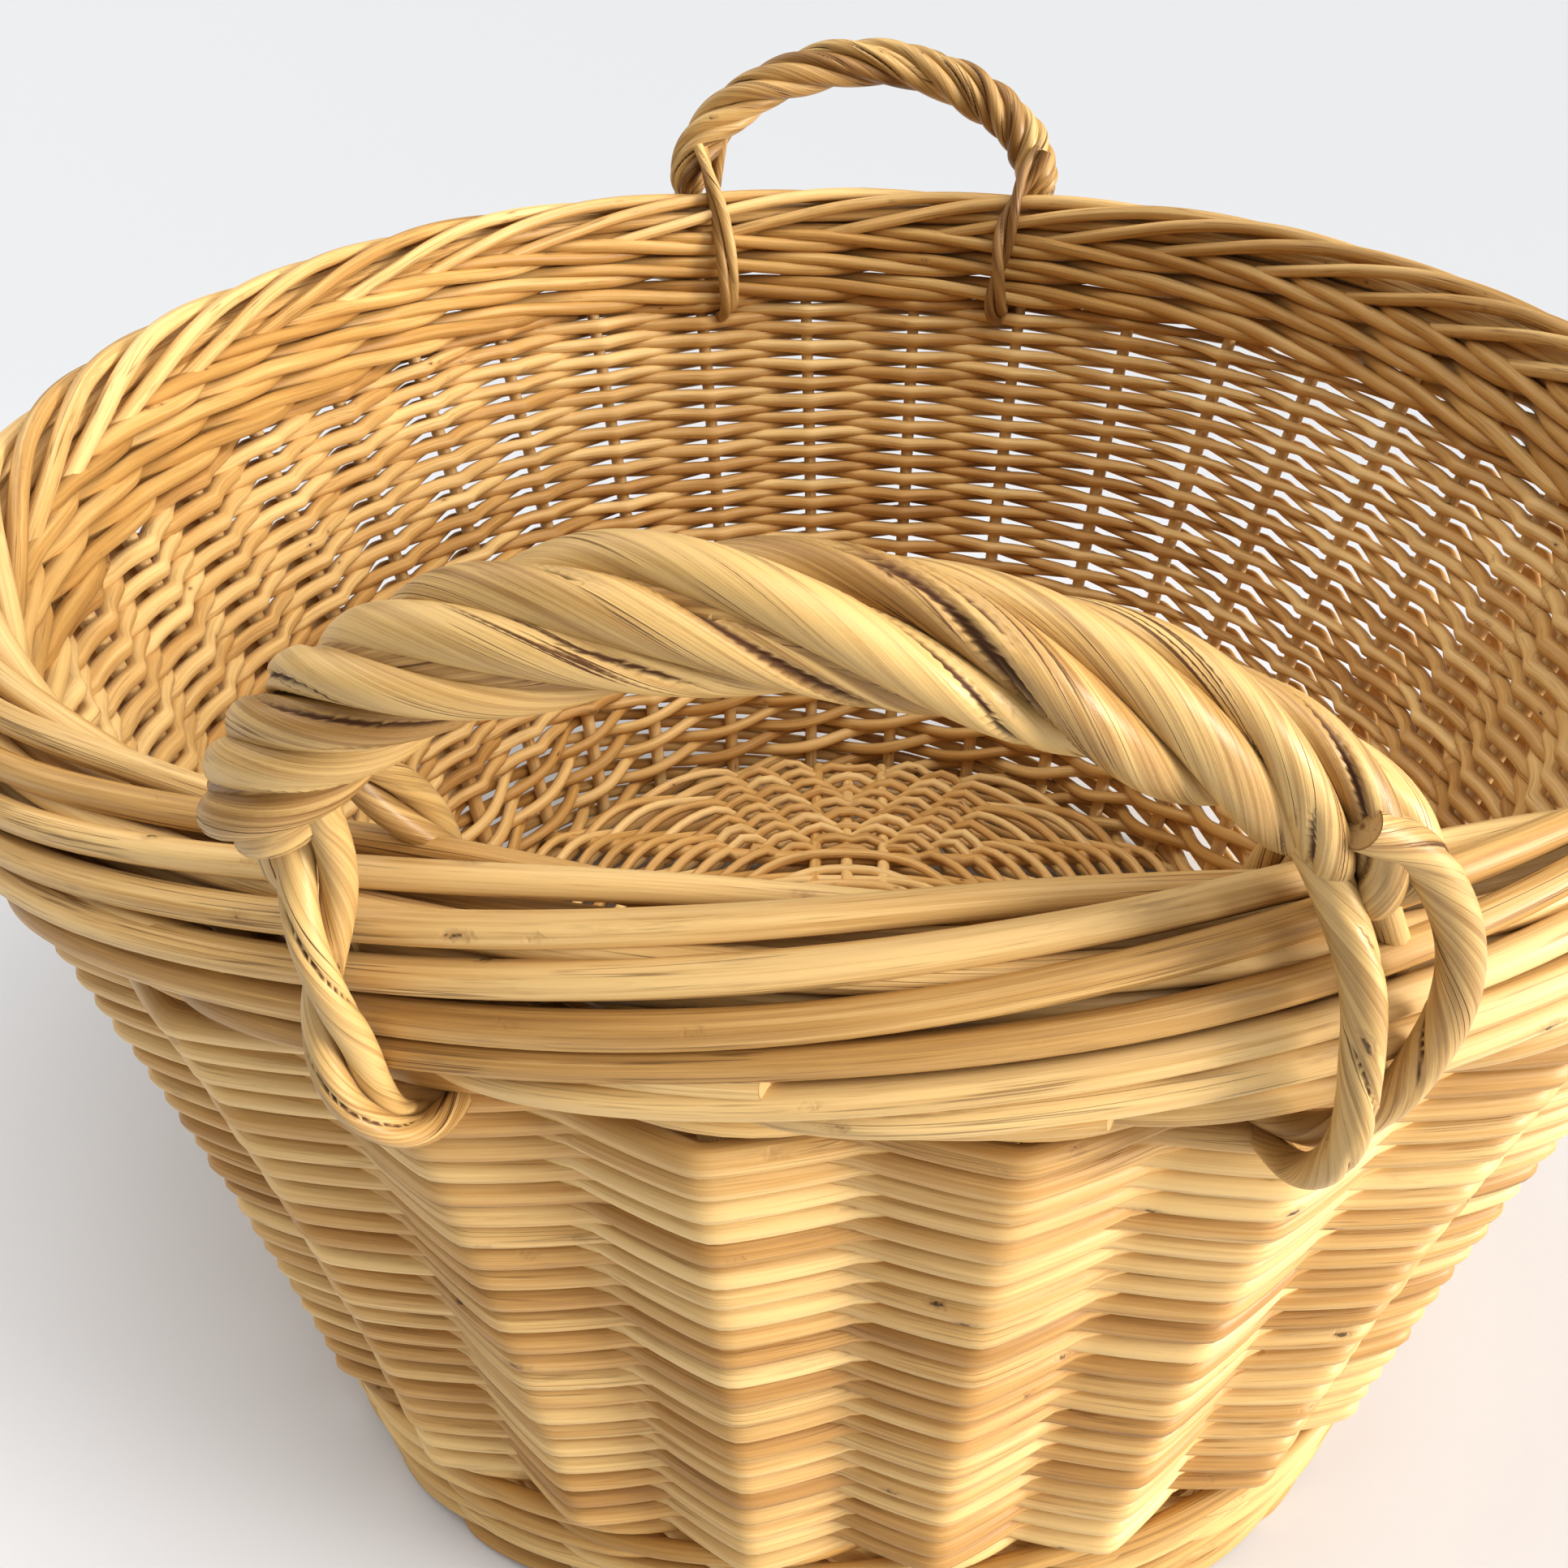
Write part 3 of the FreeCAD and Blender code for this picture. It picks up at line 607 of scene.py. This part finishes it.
# A weaver's stations round each stake, closer together where it bends.
BEND = np.array((-0.5, -0.4, -0.3, -0.2, -0.13, -0.08, -0.035, 0.0, 0.035, 0.08, 0.13, 0.2, 0.3, 0.4))
BEND_ROUND = 0.05             # how widely a weaver rounds its stake
BEND_STEEP = 0.60             # share of its inner swing that it takes up close to the stake
OUTER_SWING = 1.45            # how far a weaver stands out in front of a stake, against lying tight to it
INNER_SWING = 0.82            # the same behind a stake
LOOSE_PLACE = 3.0             # the weave is more open round this place, at the back right
LOOSE_SPAN = 5.0              # and as far as this many places from it
LOOSE_THINNER = 0.13          # its rods are thinner there by this share
LOOSE_FLATTER = 0.30          # and flatter by this


def swing(t):
    """Side of the stakes that a weaver is on, above 0 in front of one and below 0 behind the next."""
    near = 1.0 - 2.0 * np.abs(t - np.round(t))
    full = math.sqrt(1.0 + BEND_ROUND ** 2)
    share = (full - np.sqrt(near ** 2 + BEND_ROUND ** 2)) / (full - BEND_ROUND)
    inner = INNER_SWING * ((1.0 - BEND_STEEP) * share + BEND_STEEP * share ** 3)
    return np.where(np.sin(math.pi * t) > 0.0, OUTER_SWING * share, -inner)


def siding():
    """Plain randing: one weaver to a row, in front of one stake and behind the next."""
    courses = ("lower", "middle", "upper")
    t = (np.arange(STAKES)[:, None] + 0.5 + BEND[None, :]).ravel()
    crests = (swing(t + 1.0), swing(t))
    away = np.clip(np.abs((t - LOOSE_PLACE + STAKES / 2.0) % STAKES - STAKES / 2.0) / LOOSE_SPAN, 0.0, 1.0)
    loose = np.cos(away * math.pi / 2.0) ** 2
    for index, course in enumerate(courses):
        rods = Rods()
        first = SIDING_ROWS * index // len(courses)
        last = SIDING_ROWS * (index + 1) // len(courses)
        for row in range(first, last):
            share = (row + 0.5) / SIDING_ROWS
            share = share + SIDING_TIGHTER * share * (1.0 - share)
            z = SIDING_Z0 + (SIDING_Z1 - SIDING_Z0) * share
            for waves, rows_over, height in SIDING_WAVE:
                z = z + height * np.sin(2 * waves * math.pi * t / STAKES + row / rows_over)
            z = z + wander(t, 0.12, (13, 29, 17))
            crest = crests[row % 2]
            radius = SIDING_R * rng.uniform(*SIDING_VARIES) * (1.0 + wander(t, 0.03, (1, 3, 7)))
            radius = radius * (1.0 - LOOSE_THINNER * loose)
            thick = np.interp(z, (SIDING_Z0, SIDING_Z1), (STAKE_FOOT_R, STAKE_TOP_R)) + SIDING_R
            centre = on_oval(t, flare(z) + thick * crest, z)
            pressed = SIDING_PRESSED - LOOSE_FLATTER * loose
            flat = pressed + (1.0 - pressed) * np.minimum(np.abs(crest), 1.0)
            rods.add(centre, radius, closed=True, flat=flat)
        rods.piece("siding_weavers_" + course, "siding", WEAVER, "siding_" + course)


FLOAT_END = 60.0              # degrees of a rod's turn at which its float over two stakes ends
FLOAT_BULGE = 0.10            # a float stands out by this share more at its middle
WALE_VARIES = (0.95, 1.05)    # thinnest and thickest rod against a wale's radius
# Radius of a wale's rods, and how far each rises and falls.
FOOT_WALE = (2.7, 4.0)
UPSETT_WALE = (2.6, 4.3)
TOP_WALE = (2.7, 2.6)
TOP_WALE_INSET = 3.0          # the top wale stops leaning out this far inside the border's middle


def upright_offset(z):
    """The foot round doesn't lean."""
    return 0.0 * z


def under_border_offset(z):
    """The top wale leans with the wall as far as the border lets it."""
    return np.minimum(flare(z), BORDER_MID - TOP_WALE_INSET)


def wale_round(node, name, size, offset_of, floats=1.0):
    """Three rods that pass two stakes on one side and one on the other, each in turn. floats is 1 when
    the long floats are outside and -1 when they are inside."""
    low, high = box_mm(node)
    z = (low[2] + high[2]) / 2.0
    radius, rise = size
    rods = Rods()
    per_stake = 12
    t = np.arange(STAKES * per_stake + 1) / per_stake
    for strand in range(3):
        turn = (t - 0.5 + strand) / 3.0 + 1.0 / 6.0
        turn = 360.0 * (turn - np.round(turn))
        on_float = 1.0 + FLOAT_BULGE * (1.0 - (turn / FLOAT_END) ** 2)
        passing = np.cos(np.radians((np.abs(turn) - FLOAT_END) * 1.5))
        side = np.where(np.abs(turn) <= FLOAT_END, on_float, passing)
        height = z + rise * np.sin(np.radians(turn)) + wander(t, 0.25)
        reach = (STAKE_FOOT_R + radius) * side * floats
        centre = on_oval(t, offset_of(height) + reach, height)
        rods.add(centre, radius * rng.uniform(*WALE_VARIES) * (1.0 + wander(t, 0.03, (1, 3, 5))))
    rods.piece(name, "wale", WALE, node)


def foot_and_upsett():
    """The round that stands on the floor and the three that turn the stakes up."""
    wale_round("foot_round", "foot_round_rods", FOOT_WALE, upright_offset)
    for n in (1, 2, 3):
        wale_round("upsett_wale_%d" % n, "upsett_rods_%d" % n, UPSETT_WALE, flare)


def top_wales():
    """Three rounds under the border."""
    for n in (1, 2, 3):
        wale_round("top_wale_%d" % n, "top_wale_rods_%d" % n, TOP_WALE, under_border_offset, floats=-1.0)


# ------------------------------------------------------------------ the border
# A border rod's way from its own stake: places gone by, offset from the border's middle, depth below
# the rim.
BORDER_WAY = (
    (-0.02, -5.0, 46.0),
    (0.00, -4.4, 41.0),
    (0.10, -0.5, 37.0),
    (0.30, 5.2, 34.6),
    (0.62, 8.4, 32.6),
    (1.20, 9.4, 29.5),
    (2.20, 9.6, 23.2),
    (3.20, 8.8, 16.4),
    (4.20, 6.0, 9.6),
    (5.10, 1.2, 4.9),
    (5.90, -3.9, 3.7),
    (6.60, -7.6, 7.0),
    (7.20, -9.0, 12.5),
    (7.80, -7.6, 18.5),
    (8.20, -3.5, 23.0),
    (8.50, 1.5, 26.0),
)
BORDER_ROD_R = (3.15, 2.4)    # at the stake and at the tip
BORDER_VARIES = (0.90, 1.05)  # thinnest and thickest rod against that
BORDER_LUMP = (0.35, 2.1)     # how far a rod strays in and out, and radians to a place
BORDER_RIPPLE = (0.3, 1.7)    # the same up and down
# Butts left standing outside the border: place and depth below the rim.
BUTTS = ((3.3, 27.0), (7.9, 20.5), (11.6, 28.5), (15.2, 22.0), (19.4, 27.5), (22.1, 21.0), (23.75, 26.0),
         (24.7, 32.0), (28.6, 27.0), (30.9, 21.5))
BUTT_R = 2.8
BUTT_RUN = 1.5                # places that a butt runs on before it is lost in the border
BUTT_OFFSET = 9.3             # from the border's middle, at the cut end
BUTT_DIVE = 5.0               # how quickly it goes in
BUTT_FALL = 3.0               # and down
# Rods laid inside the border: offset from its middle and depth below the rim.
CORE_RODS = ((-3.2, 12.0), (2.6, 11.0), (-3.8, 17.8), (2.4, 17.0))
CORE_ROD_R = 3.1


def border():
    """Each stake is laid to the right, rises round the outside, crosses the top and goes down inside."""
    rods = Rods()
    gone, out, below = smooth_through(BORDER_WAY, 8).T
    for n in range(STAKES):
        t = n + 0.5 + gone
        lump = BORDER_LUMP[0] * np.sin(gone * BORDER_LUMP[1] + rng.uniform(0.0, 6.3))
        offset = BORDER_MID + out + lump * np.clip(gone, 0.0, 1.0)
        ripple = BORDER_RIPPLE[0] * np.sin(gone * BORDER_RIPPLE[1] + rng.uniform(0.0, 6.3))
        z = RIM_Z - below + ripple
        radius = np.interp(gone, (0.0, BORDER_WAY[-1][0]), BORDER_ROD_R) * rng.uniform(*BORDER_VARIES)
        rods.add(on_oval(t, offset, z), radius, upright=False, sides=12, slant=0.6)
    gone = np.linspace(0.0, BUTT_RUN, 16)
    for t, depth in BUTTS:
        offset = BORDER_MID + BUTT_OFFSET - BUTT_DIVE * gone ** 2
        z = RIM_Z - depth - BUTT_FALL * gone
        rods.add(on_oval(t - gone, offset, z), BUTT_R, upright=False, sides=14, slant=0.6)
    turn = np.arange(STAKES * 8) / 8.0
    for offset, depth in CORE_RODS:
        offset = BORDER_MID + offset + wander(turn, 0.5)
        z = RIM_Z - depth + wander(turn, 0.5)
        rods.add(on_oval(turn, offset, z), CORE_ROD_R, closed=True)
    rods.piece("border_rods", "border", BORDER, "border_core", "border_inner_low", "border_inner_high",
               "border_crown", "border_outer_high", "border_outer_low")


# ----------------------------------------------------------------- the handles
HALF_SPAN = 75.0              # from a handle's middle to the bow at its feet
FOOT_OFFSET = 62.0            # of the bow's feet from the floor oval
FOOT_Z = 250.0
LEAN = math.radians(20.0)     # outwards from upright
SPRING = 13.0                 # straight length above each foot
RISE = 51.0                   # from there to the bow's top
SHOULDER_R = 34.0
BOW_R = 2.4
BOW_TAIL = 24.0               # the bow goes on down this far into the border
STRANDS = 5
STRAND_R = 3.55
STRAND_TWIST = 0.015          # turns of the grain to a millimetre
LEG_ROD_TWIST = -0.022        # the same for fillers and legs
LAY_R = 5.85                  # from the bow's middle to a strand's

FOOT_RADIUS = END_R + FOOT_OFFSET
FOOT_Y = -END_Y - math.sqrt(FOOT_RADIUS ** 2 - HALF_SPAN ** 2)
ARCH_D = ((HALF_SPAN - SHOULDER_R) ** 2 - (RISE - SHOULDER_R) ** 2) / (2.0 * (RISE - SHOULDER_R))
ARCH_R = RISE + ARCH_D
ARCH_TURN = math.atan2(HALF_SPAN - SHOULDER_R, ARCH_D)
ARCH_HALF = SPRING + SHOULDER_R * (math.pi / 2.0 - ARCH_TURN) + ARCH_R * ARCH_TURN
ACROSS = np.array((0.0, math.cos(LEAN), math.sin(LEAN)))
FRONT_SHIFT = -6.0            # the front bow stands this far to the right, so to the left if below 0
FRONT_SKEW = 0.0021           # its left shoulder is higher by this share to a millimetre
FRONT_WIDER = 1.012


def arch(s, back):
    """Points of a handle's bow at lengths s from its top, left negative, as if it were the front one."""
    s = np.asarray(s, float)
    side = np.sign(s)
    run = np.abs(s)
    crown = ARCH_R * ARCH_TURN
    shoulder = SHOULDER_R * (math.pi / 2.0 - ARCH_TURN)
    a = np.minimum(run, crown) / ARCH_R
    x = ARCH_R * np.sin(a)
    h = SPRING - ARCH_D + ARCH_R * np.cos(a)
    b = ARCH_TURN + np.clip(run - crown, 0.0, shoulder) / SHOULDER_R
    x = x + SHOULDER_R * (np.sin(b) - math.sin(ARCH_TURN))
    h = h + SHOULDER_R * (np.cos(b) - math.cos(ARCH_TURN))
    h = h - np.clip(run - crown - shoulder, 0.0, None)
    x = side * x
    if not back:
        h = h * (1.0 - FRONT_SKEW * x)
        x = FRONT_WIDER * x + FRONT_SHIFT * np.clip(h / SPRING, 0.0, 1.0)
    return np.stack((x, FOOT_Y - h * math.sin(LEAN), FOOT_Z + h * math.cos(LEAN)), axis=-1)


def turned(points, back):
    """The front handle's points, or the back handle's, half a turn round."""
    return points * np.array((-1.0, -1.0, 1.0)) if back else points


# Length of bow to one turn of the rope, from the left foot to the right one.
TURN_PLACES = (-110.0, -80.0, -55.0, -30.0, 0.0, 30.0, 60.0, 110.0)
TURN_LENGTHS = (36.0, 42.0, 64.0, 100.0, 108.0, 92.0, 80.0, 74.0)
# Thinner rods lie in some of the grooves between the strands.
FILLED = (1, 3)
FILLER_TURN = 0.60            # radians from its strand
FILLER_LAY = 5.6
FILLER_PLACES = (-110.0, -30.0, 20.0, 110.0)
FILLER_R = (1.8, 1.9, 1.4, 1.2)
FRONT_BARE = 19.0             # bow left bare above each foot
BACK_BARE = 8.0
TUCK = 10.0                   # the strands close in on the bow over this length at either end
TUCKED_LAY = 0.22             # share of their distance from the bow that is left there
TUCKED_STRAND = 0.55          # and of their radius
TUCKED_FILLER = 0.4
# How the rope's rods vary: size, length of the wave, radians out of step with the next rod.
PHASE_WAVE = (0.10, 23.0, 1.9)
LAY_WAVE = (0.5, 31.0, 2.3)
STRAND_WAVE = (0.09, 37.0, 1.3)
FILLER_WAVE = (0.15, 19.0, 1.0)
FILLER_LAY_WAVE = (0.3, 17.0, 1.0)


def waver(s, n, wave):
    """How rod n departs from its mean at lengths s."""
    size, length, step = wave
    return size * np.sin(s / length + n * step)


def rope(back, name):
    """The rods wound round the bow."""
    stop = ARCH_HALF - (BACK_BARE if back else FRONT_BARE)
    s = np.linspace(-stop, stop, 150)
    tuck = np.clip(np.minimum(s - s[0], s[-1] - s) / TUCK, 0.0, 1.0)
    tuck = np.sin(tuck * math.pi / 2.0)
    closed_in = TUCKED_LAY + (1.0 - TUCKED_LAY) * tuck
    centre = arch(s, back)
    ahead = unit(np.gradient(centre, axis=0))
    normal = np.cross(ACROSS, ahead)
    step = np.gradient(s)
    turn = np.cumsum(step * 2.0 * math.pi / np.interp(s, TURN_PLACES, TURN_LENGTHS))

    def wound(angle, lay):
        out = normal * np.cos(angle)[:, None] + ACROSS * np.sin(angle)[:, None]
        return turned(centre + out * lay[:, None], back)

    for n in range(STRANDS):
        rods = Rods()
        phase = 2.0 * math.pi * n / STRANDS + waver(s, n, PHASE_WAVE)
        lay = (LAY_R + waver(s, n, LAY_WAVE)) * closed_in
        radius = STRAND_R * (1.0 + waver(s, n, STRAND_WAVE))
        radius = radius * (TUCKED_STRAND + (1.0 - TUCKED_STRAND) * tuck)
        path = wound(turn + phase, lay)
        rods.add(path, radius, upright=False, sides=40, cracks=6, twist=STRAND_TWIST)
        if n in FILLED:
            thin = np.interp(s, FILLER_PLACES, FILLER_R) * (1.0 + waver(s, n, FILLER_WAVE))
            thin = thin * (TUCKED_FILLER + (1.0 - TUCKED_FILLER) * tuck)
            lay = FILLER_LAY * closed_in + waver(s, n, FILLER_LAY_WAVE)
            path = wound(turn + phase + FILLER_TURN, lay)
            rods.add(path, thin, upright=False, sides=20, cracks=1, twist=LEG_ROD_TWIST)
        rods.piece("%s_rope_%d" % (name, n + 1), "handle_rods", HANDLE, "%s_strand_%d" % (name, n + 1))


# A leg's way: distance from the handle's end, offset from the floor oval, height, spread of its rods.
LEG_WAY = (
    (-6.0, 73.0, 282.0, 0.5),
    (-3.6, 72.8, 276.5, 0.9),
    (-2.4, 73.5, 269.0, 1.0),
    (-1.2, 75.0, 258.0, 1.0),
    (-0.6, 75.0, 243.5, 1.0),
    (-2.2, 73.0, 229.0, 0.8),
    (-7.0, 65.0, 217.5, 0.4),
    (-13.5, 47.0, 213.0, 0.0),
    (-17.0, 38.5, 218.5, 0.0),
    (-16.0, 40.0, 238.0, 0.0),
    (-12.5, 46.0, 256.0, 0.0),
    (-6.5, 54.0, 270.0, 0.0),
    (-2.0, 59.0, 279.0, 0.0),
)
LEG_PLACE = {"left": 0.0, "right": -1.3}      # how far a leg is moved outwards, away from the middle
# How legs bend where they enter the rope, outwards if above 0, on the front handle and on the back one.
LEG_LEAN = {"left": (0.002, 0.002), "right": (-0.011, -0.003)}
LEG_ROD_R = {"left": (2.6, 2.3), "right": (3.1, 2.2)}    # at the rope and where it tucks under
LEG_THINS = (0.0, 0.25, 0.6)                  # shares of a leg's length: where it starts, thins and is thin
LEG_TWIST = {"left": 62.0, "right": 150.0}    # length of one turn of a foot's rods round each other
LEG_APART = {"left": 0.0, "right": 3.8}       # how much farther apart they stand outside the border
LEG_START = 0.3                               # radians, where the first of a leg's two rods starts
LEG_GAP = 0.05                                # half the gap between them


def end_arc(x, offset, z):
    """Points in front of the front end's arc, that far outside the floor oval."""
    radius = END_R + offset
    return np.stack((x, -END_Y - np.sqrt(radius ** 2 - x ** 2), z), axis=-1)


def legs(back, name):
    """Two twisted rods to a foot: down outside, under the border and up inside."""
    place, offset, z, spread = smooth_through(LEG_WAY, 12).T
    for side, label in ((-1.0, "left"), (1.0, "right")):
        bend = LEG_LEAN[label][int(back)] * np.clip(z - FOOT_Z, 0.0, None) ** 2
        x = HALF_SPAN + place + LEG_PLACE[label] + bend
        centre = end_arc(side * x, offset, z)
        ahead, aside, top = frames(centre, False, False)
        along = np.concatenate(((0.0,), np.cumsum(np.linalg.norm(np.diff(centre, axis=0), axis=1))))
        for n in (1, 2):
            rods = Rods()
            apart = LEG_APART[label] * spread * (2 * n - 3)
            angle = 2.0 * math.pi * along / LEG_TWIST[label] + math.pi * n + LEG_START
            out = aside * np.cos(angle)[:, None] + top * np.sin(angle)[:, None]
            thick, thin = LEG_ROD_R[label]
            radius = np.interp(along / along[-1], LEG_THINS, (thick, thick, thin))
            path = end_arc(side * (x + apart), offset, z) + out * (radius + LEG_GAP)[:, None]
            rods.add(turned(path, back), radius, upright=False, sides=28, cracks=4, twist=LEG_ROD_TWIST)
            node = "%s_leg_%s_rod_%d" % (name, label, n)
            rods.piece("%s_foot_%s_%d" % (name, label, n), "handle_rods", HANDLE, node)


def handles():
    """At each end a bow, the rods wound round it and its two legs."""
    for back, name in ((False, "handle_front"), (True, "handle_back")):
        bow = Rods()
        s = np.linspace(-ARCH_HALF - BOW_TAIL, ARCH_HALF + BOW_TAIL, 90)
        bow.add(turned(arch(s, back), back), BOW_R, upright=False, slant=1.0)
        bow.piece(name + "_core", "handle_bow", HANDLE, name + "_bow")
        rope(back, name)
        legs(back, name)


# --------------------------------------------------------------------- setting
FLOOR_REACH = 6.0
FLOOR_NEAR = ((0.665, 0.68, 0.71, 1.0), (0.695, 0.71, 0.74, 1.0))
# The far colour is painted shade: the floor is plain and is painted darker towards the back, where less
# light reaches it.
FLOOR_FAR_PAINTED_SHADE = (0.545, 0.56, 0.585, 1.0)
FLOOR_SHADE_FADE = (-0.3, 0.9)      # Y between which the near colours give way to the far one, which is painted shade
FLOOR_ROUGH = 0.7
FLOOR_MOTTLE = 3.0
WORLD_COLOUR = (1.0, 0.98, 0.95, 1.0)
WORLD_POWER = 0.30
VIEW_GAMMA = 0.87
# Name, direction that the light comes from, its spread in degrees, power and colour.
LAMPS = (
    ("window", (4.0, -1.25, 0.55), 20.0, 3.9, (1.0, 0.97, 0.94)),
    ("sky", (0.62, -0.33, 1.0), 60.0, 2.75, (1.0, 0.99, 0.98)),
    ("room", (-0.50, 0.25, 0.90), 70.0, 1.6, (1.0, 0.98, 0.95)),
)


def ground():
    """A plain pale floor, painted a little darker behind the basket as painted shade, where less light
    reaches the far floor.
    """
    plane = bpy.data.meshes.new("floor")
    r = FLOOR_REACH
    plane.from_pydata([(-r, -r, 0.0), (r, -r, 0.0), (r, r, 0.0), (-r, r, 0.0)], [], [(0, 1, 2, 3)])
    floor = bpy.data.objects.new("floor", plane)
    bpy.context.scene.collection.objects.link(floor)
    s = Shader("pale_floor")
    place = s.node("TexCoord").outputs["Object"]
    near = s.mix(s.noise(place, (FLOOR_MOTTLE,) * 3, 3.0), *FLOOR_NEAR)
    distance = s.node("SeparateXYZ", {0: place}).outputs[1]
    colour = s.mix(s.span(distance, *FLOOR_SHADE_FADE), near, FLOOR_FAR_PAINTED_SHADE)
    shader = s.node("BsdfPrincipled", {"Base Color": colour, "Roughness": FLOOR_ROUGH})
    s.tree.links.new(shader.outputs[0], s.node("OutputMaterial").inputs[0])
    plane.materials.append(s.material)


def lights():
    """Low window light from the right, soft light from above it and a fill from the left."""
    world = bpy.data.worlds.new("studio")
    bpy.context.scene.world = world
    world.use_nodes = True
    background = world.node_tree.nodes["Background"]
    background.inputs[0].default_value = WORLD_COLOUR
    background.inputs[1].default_value = WORLD_POWER
    bpy.context.scene.view_settings.view_transform = "Standard"
    bpy.context.scene.view_settings.gamma = VIEW_GAMMA
    for name, source, spread, power, colour in LAMPS:
        light = bpy.data.lights.new(name, "SUN")
        light.angle = math.radians(spread)
        light.energy = power
        light.color = colour
        lamp = bpy.data.objects.new(name, light)
        lamp.rotation_mode = "QUATERNION"
        lamp.rotation_quaternion = Vector(source).to_track_quat("Z", "Y")
        bpy.context.scene.collection.objects.link(lamp)


CAMERA_PLACE = (-0.0040, -0.4465, 0.3845)
CAMERA_DOWN = 0.533           # radians below the horizon
CAMERA_YAW = 0.042            # radians to the left of +Y
SENSOR = 36.0                 # millimetres, as the lens is
LENS = 36.04


def camera():
    """Close to the front handle, looking down into the basket."""
    level = Matrix.Rotation(CAMERA_YAW, 3, "Z")
    fwd = level @ Vector((0.0, math.cos(CAMERA_DOWN), -math.sin(CAMERA_DOWN)))
    right = level @ Vector((1.0, 0.0, 0.0))
    up = right.cross(fwd)
    data = bpy.data.cameras.new("camera")
    data.sensor_width = SENSOR
    data.lens = LENS
    data.clip_start = 0.01
    data.clip_end = 50.0
    eye = bpy.data.objects.new("camera", data)
    turn = Matrix((right, up, -fwd)).transposed()
    eye.matrix_world = Matrix.Translation(CAMERA_PLACE) @ turn.to_4x4()
    bpy.context.scene.collection.objects.link(eye)
    bpy.context.scene.camera = eye


base_sticks()
base_weave()
stakes()
siding()
foot_and_upsett()
top_wales()
border()
handles()
ground()
lights()
camera()
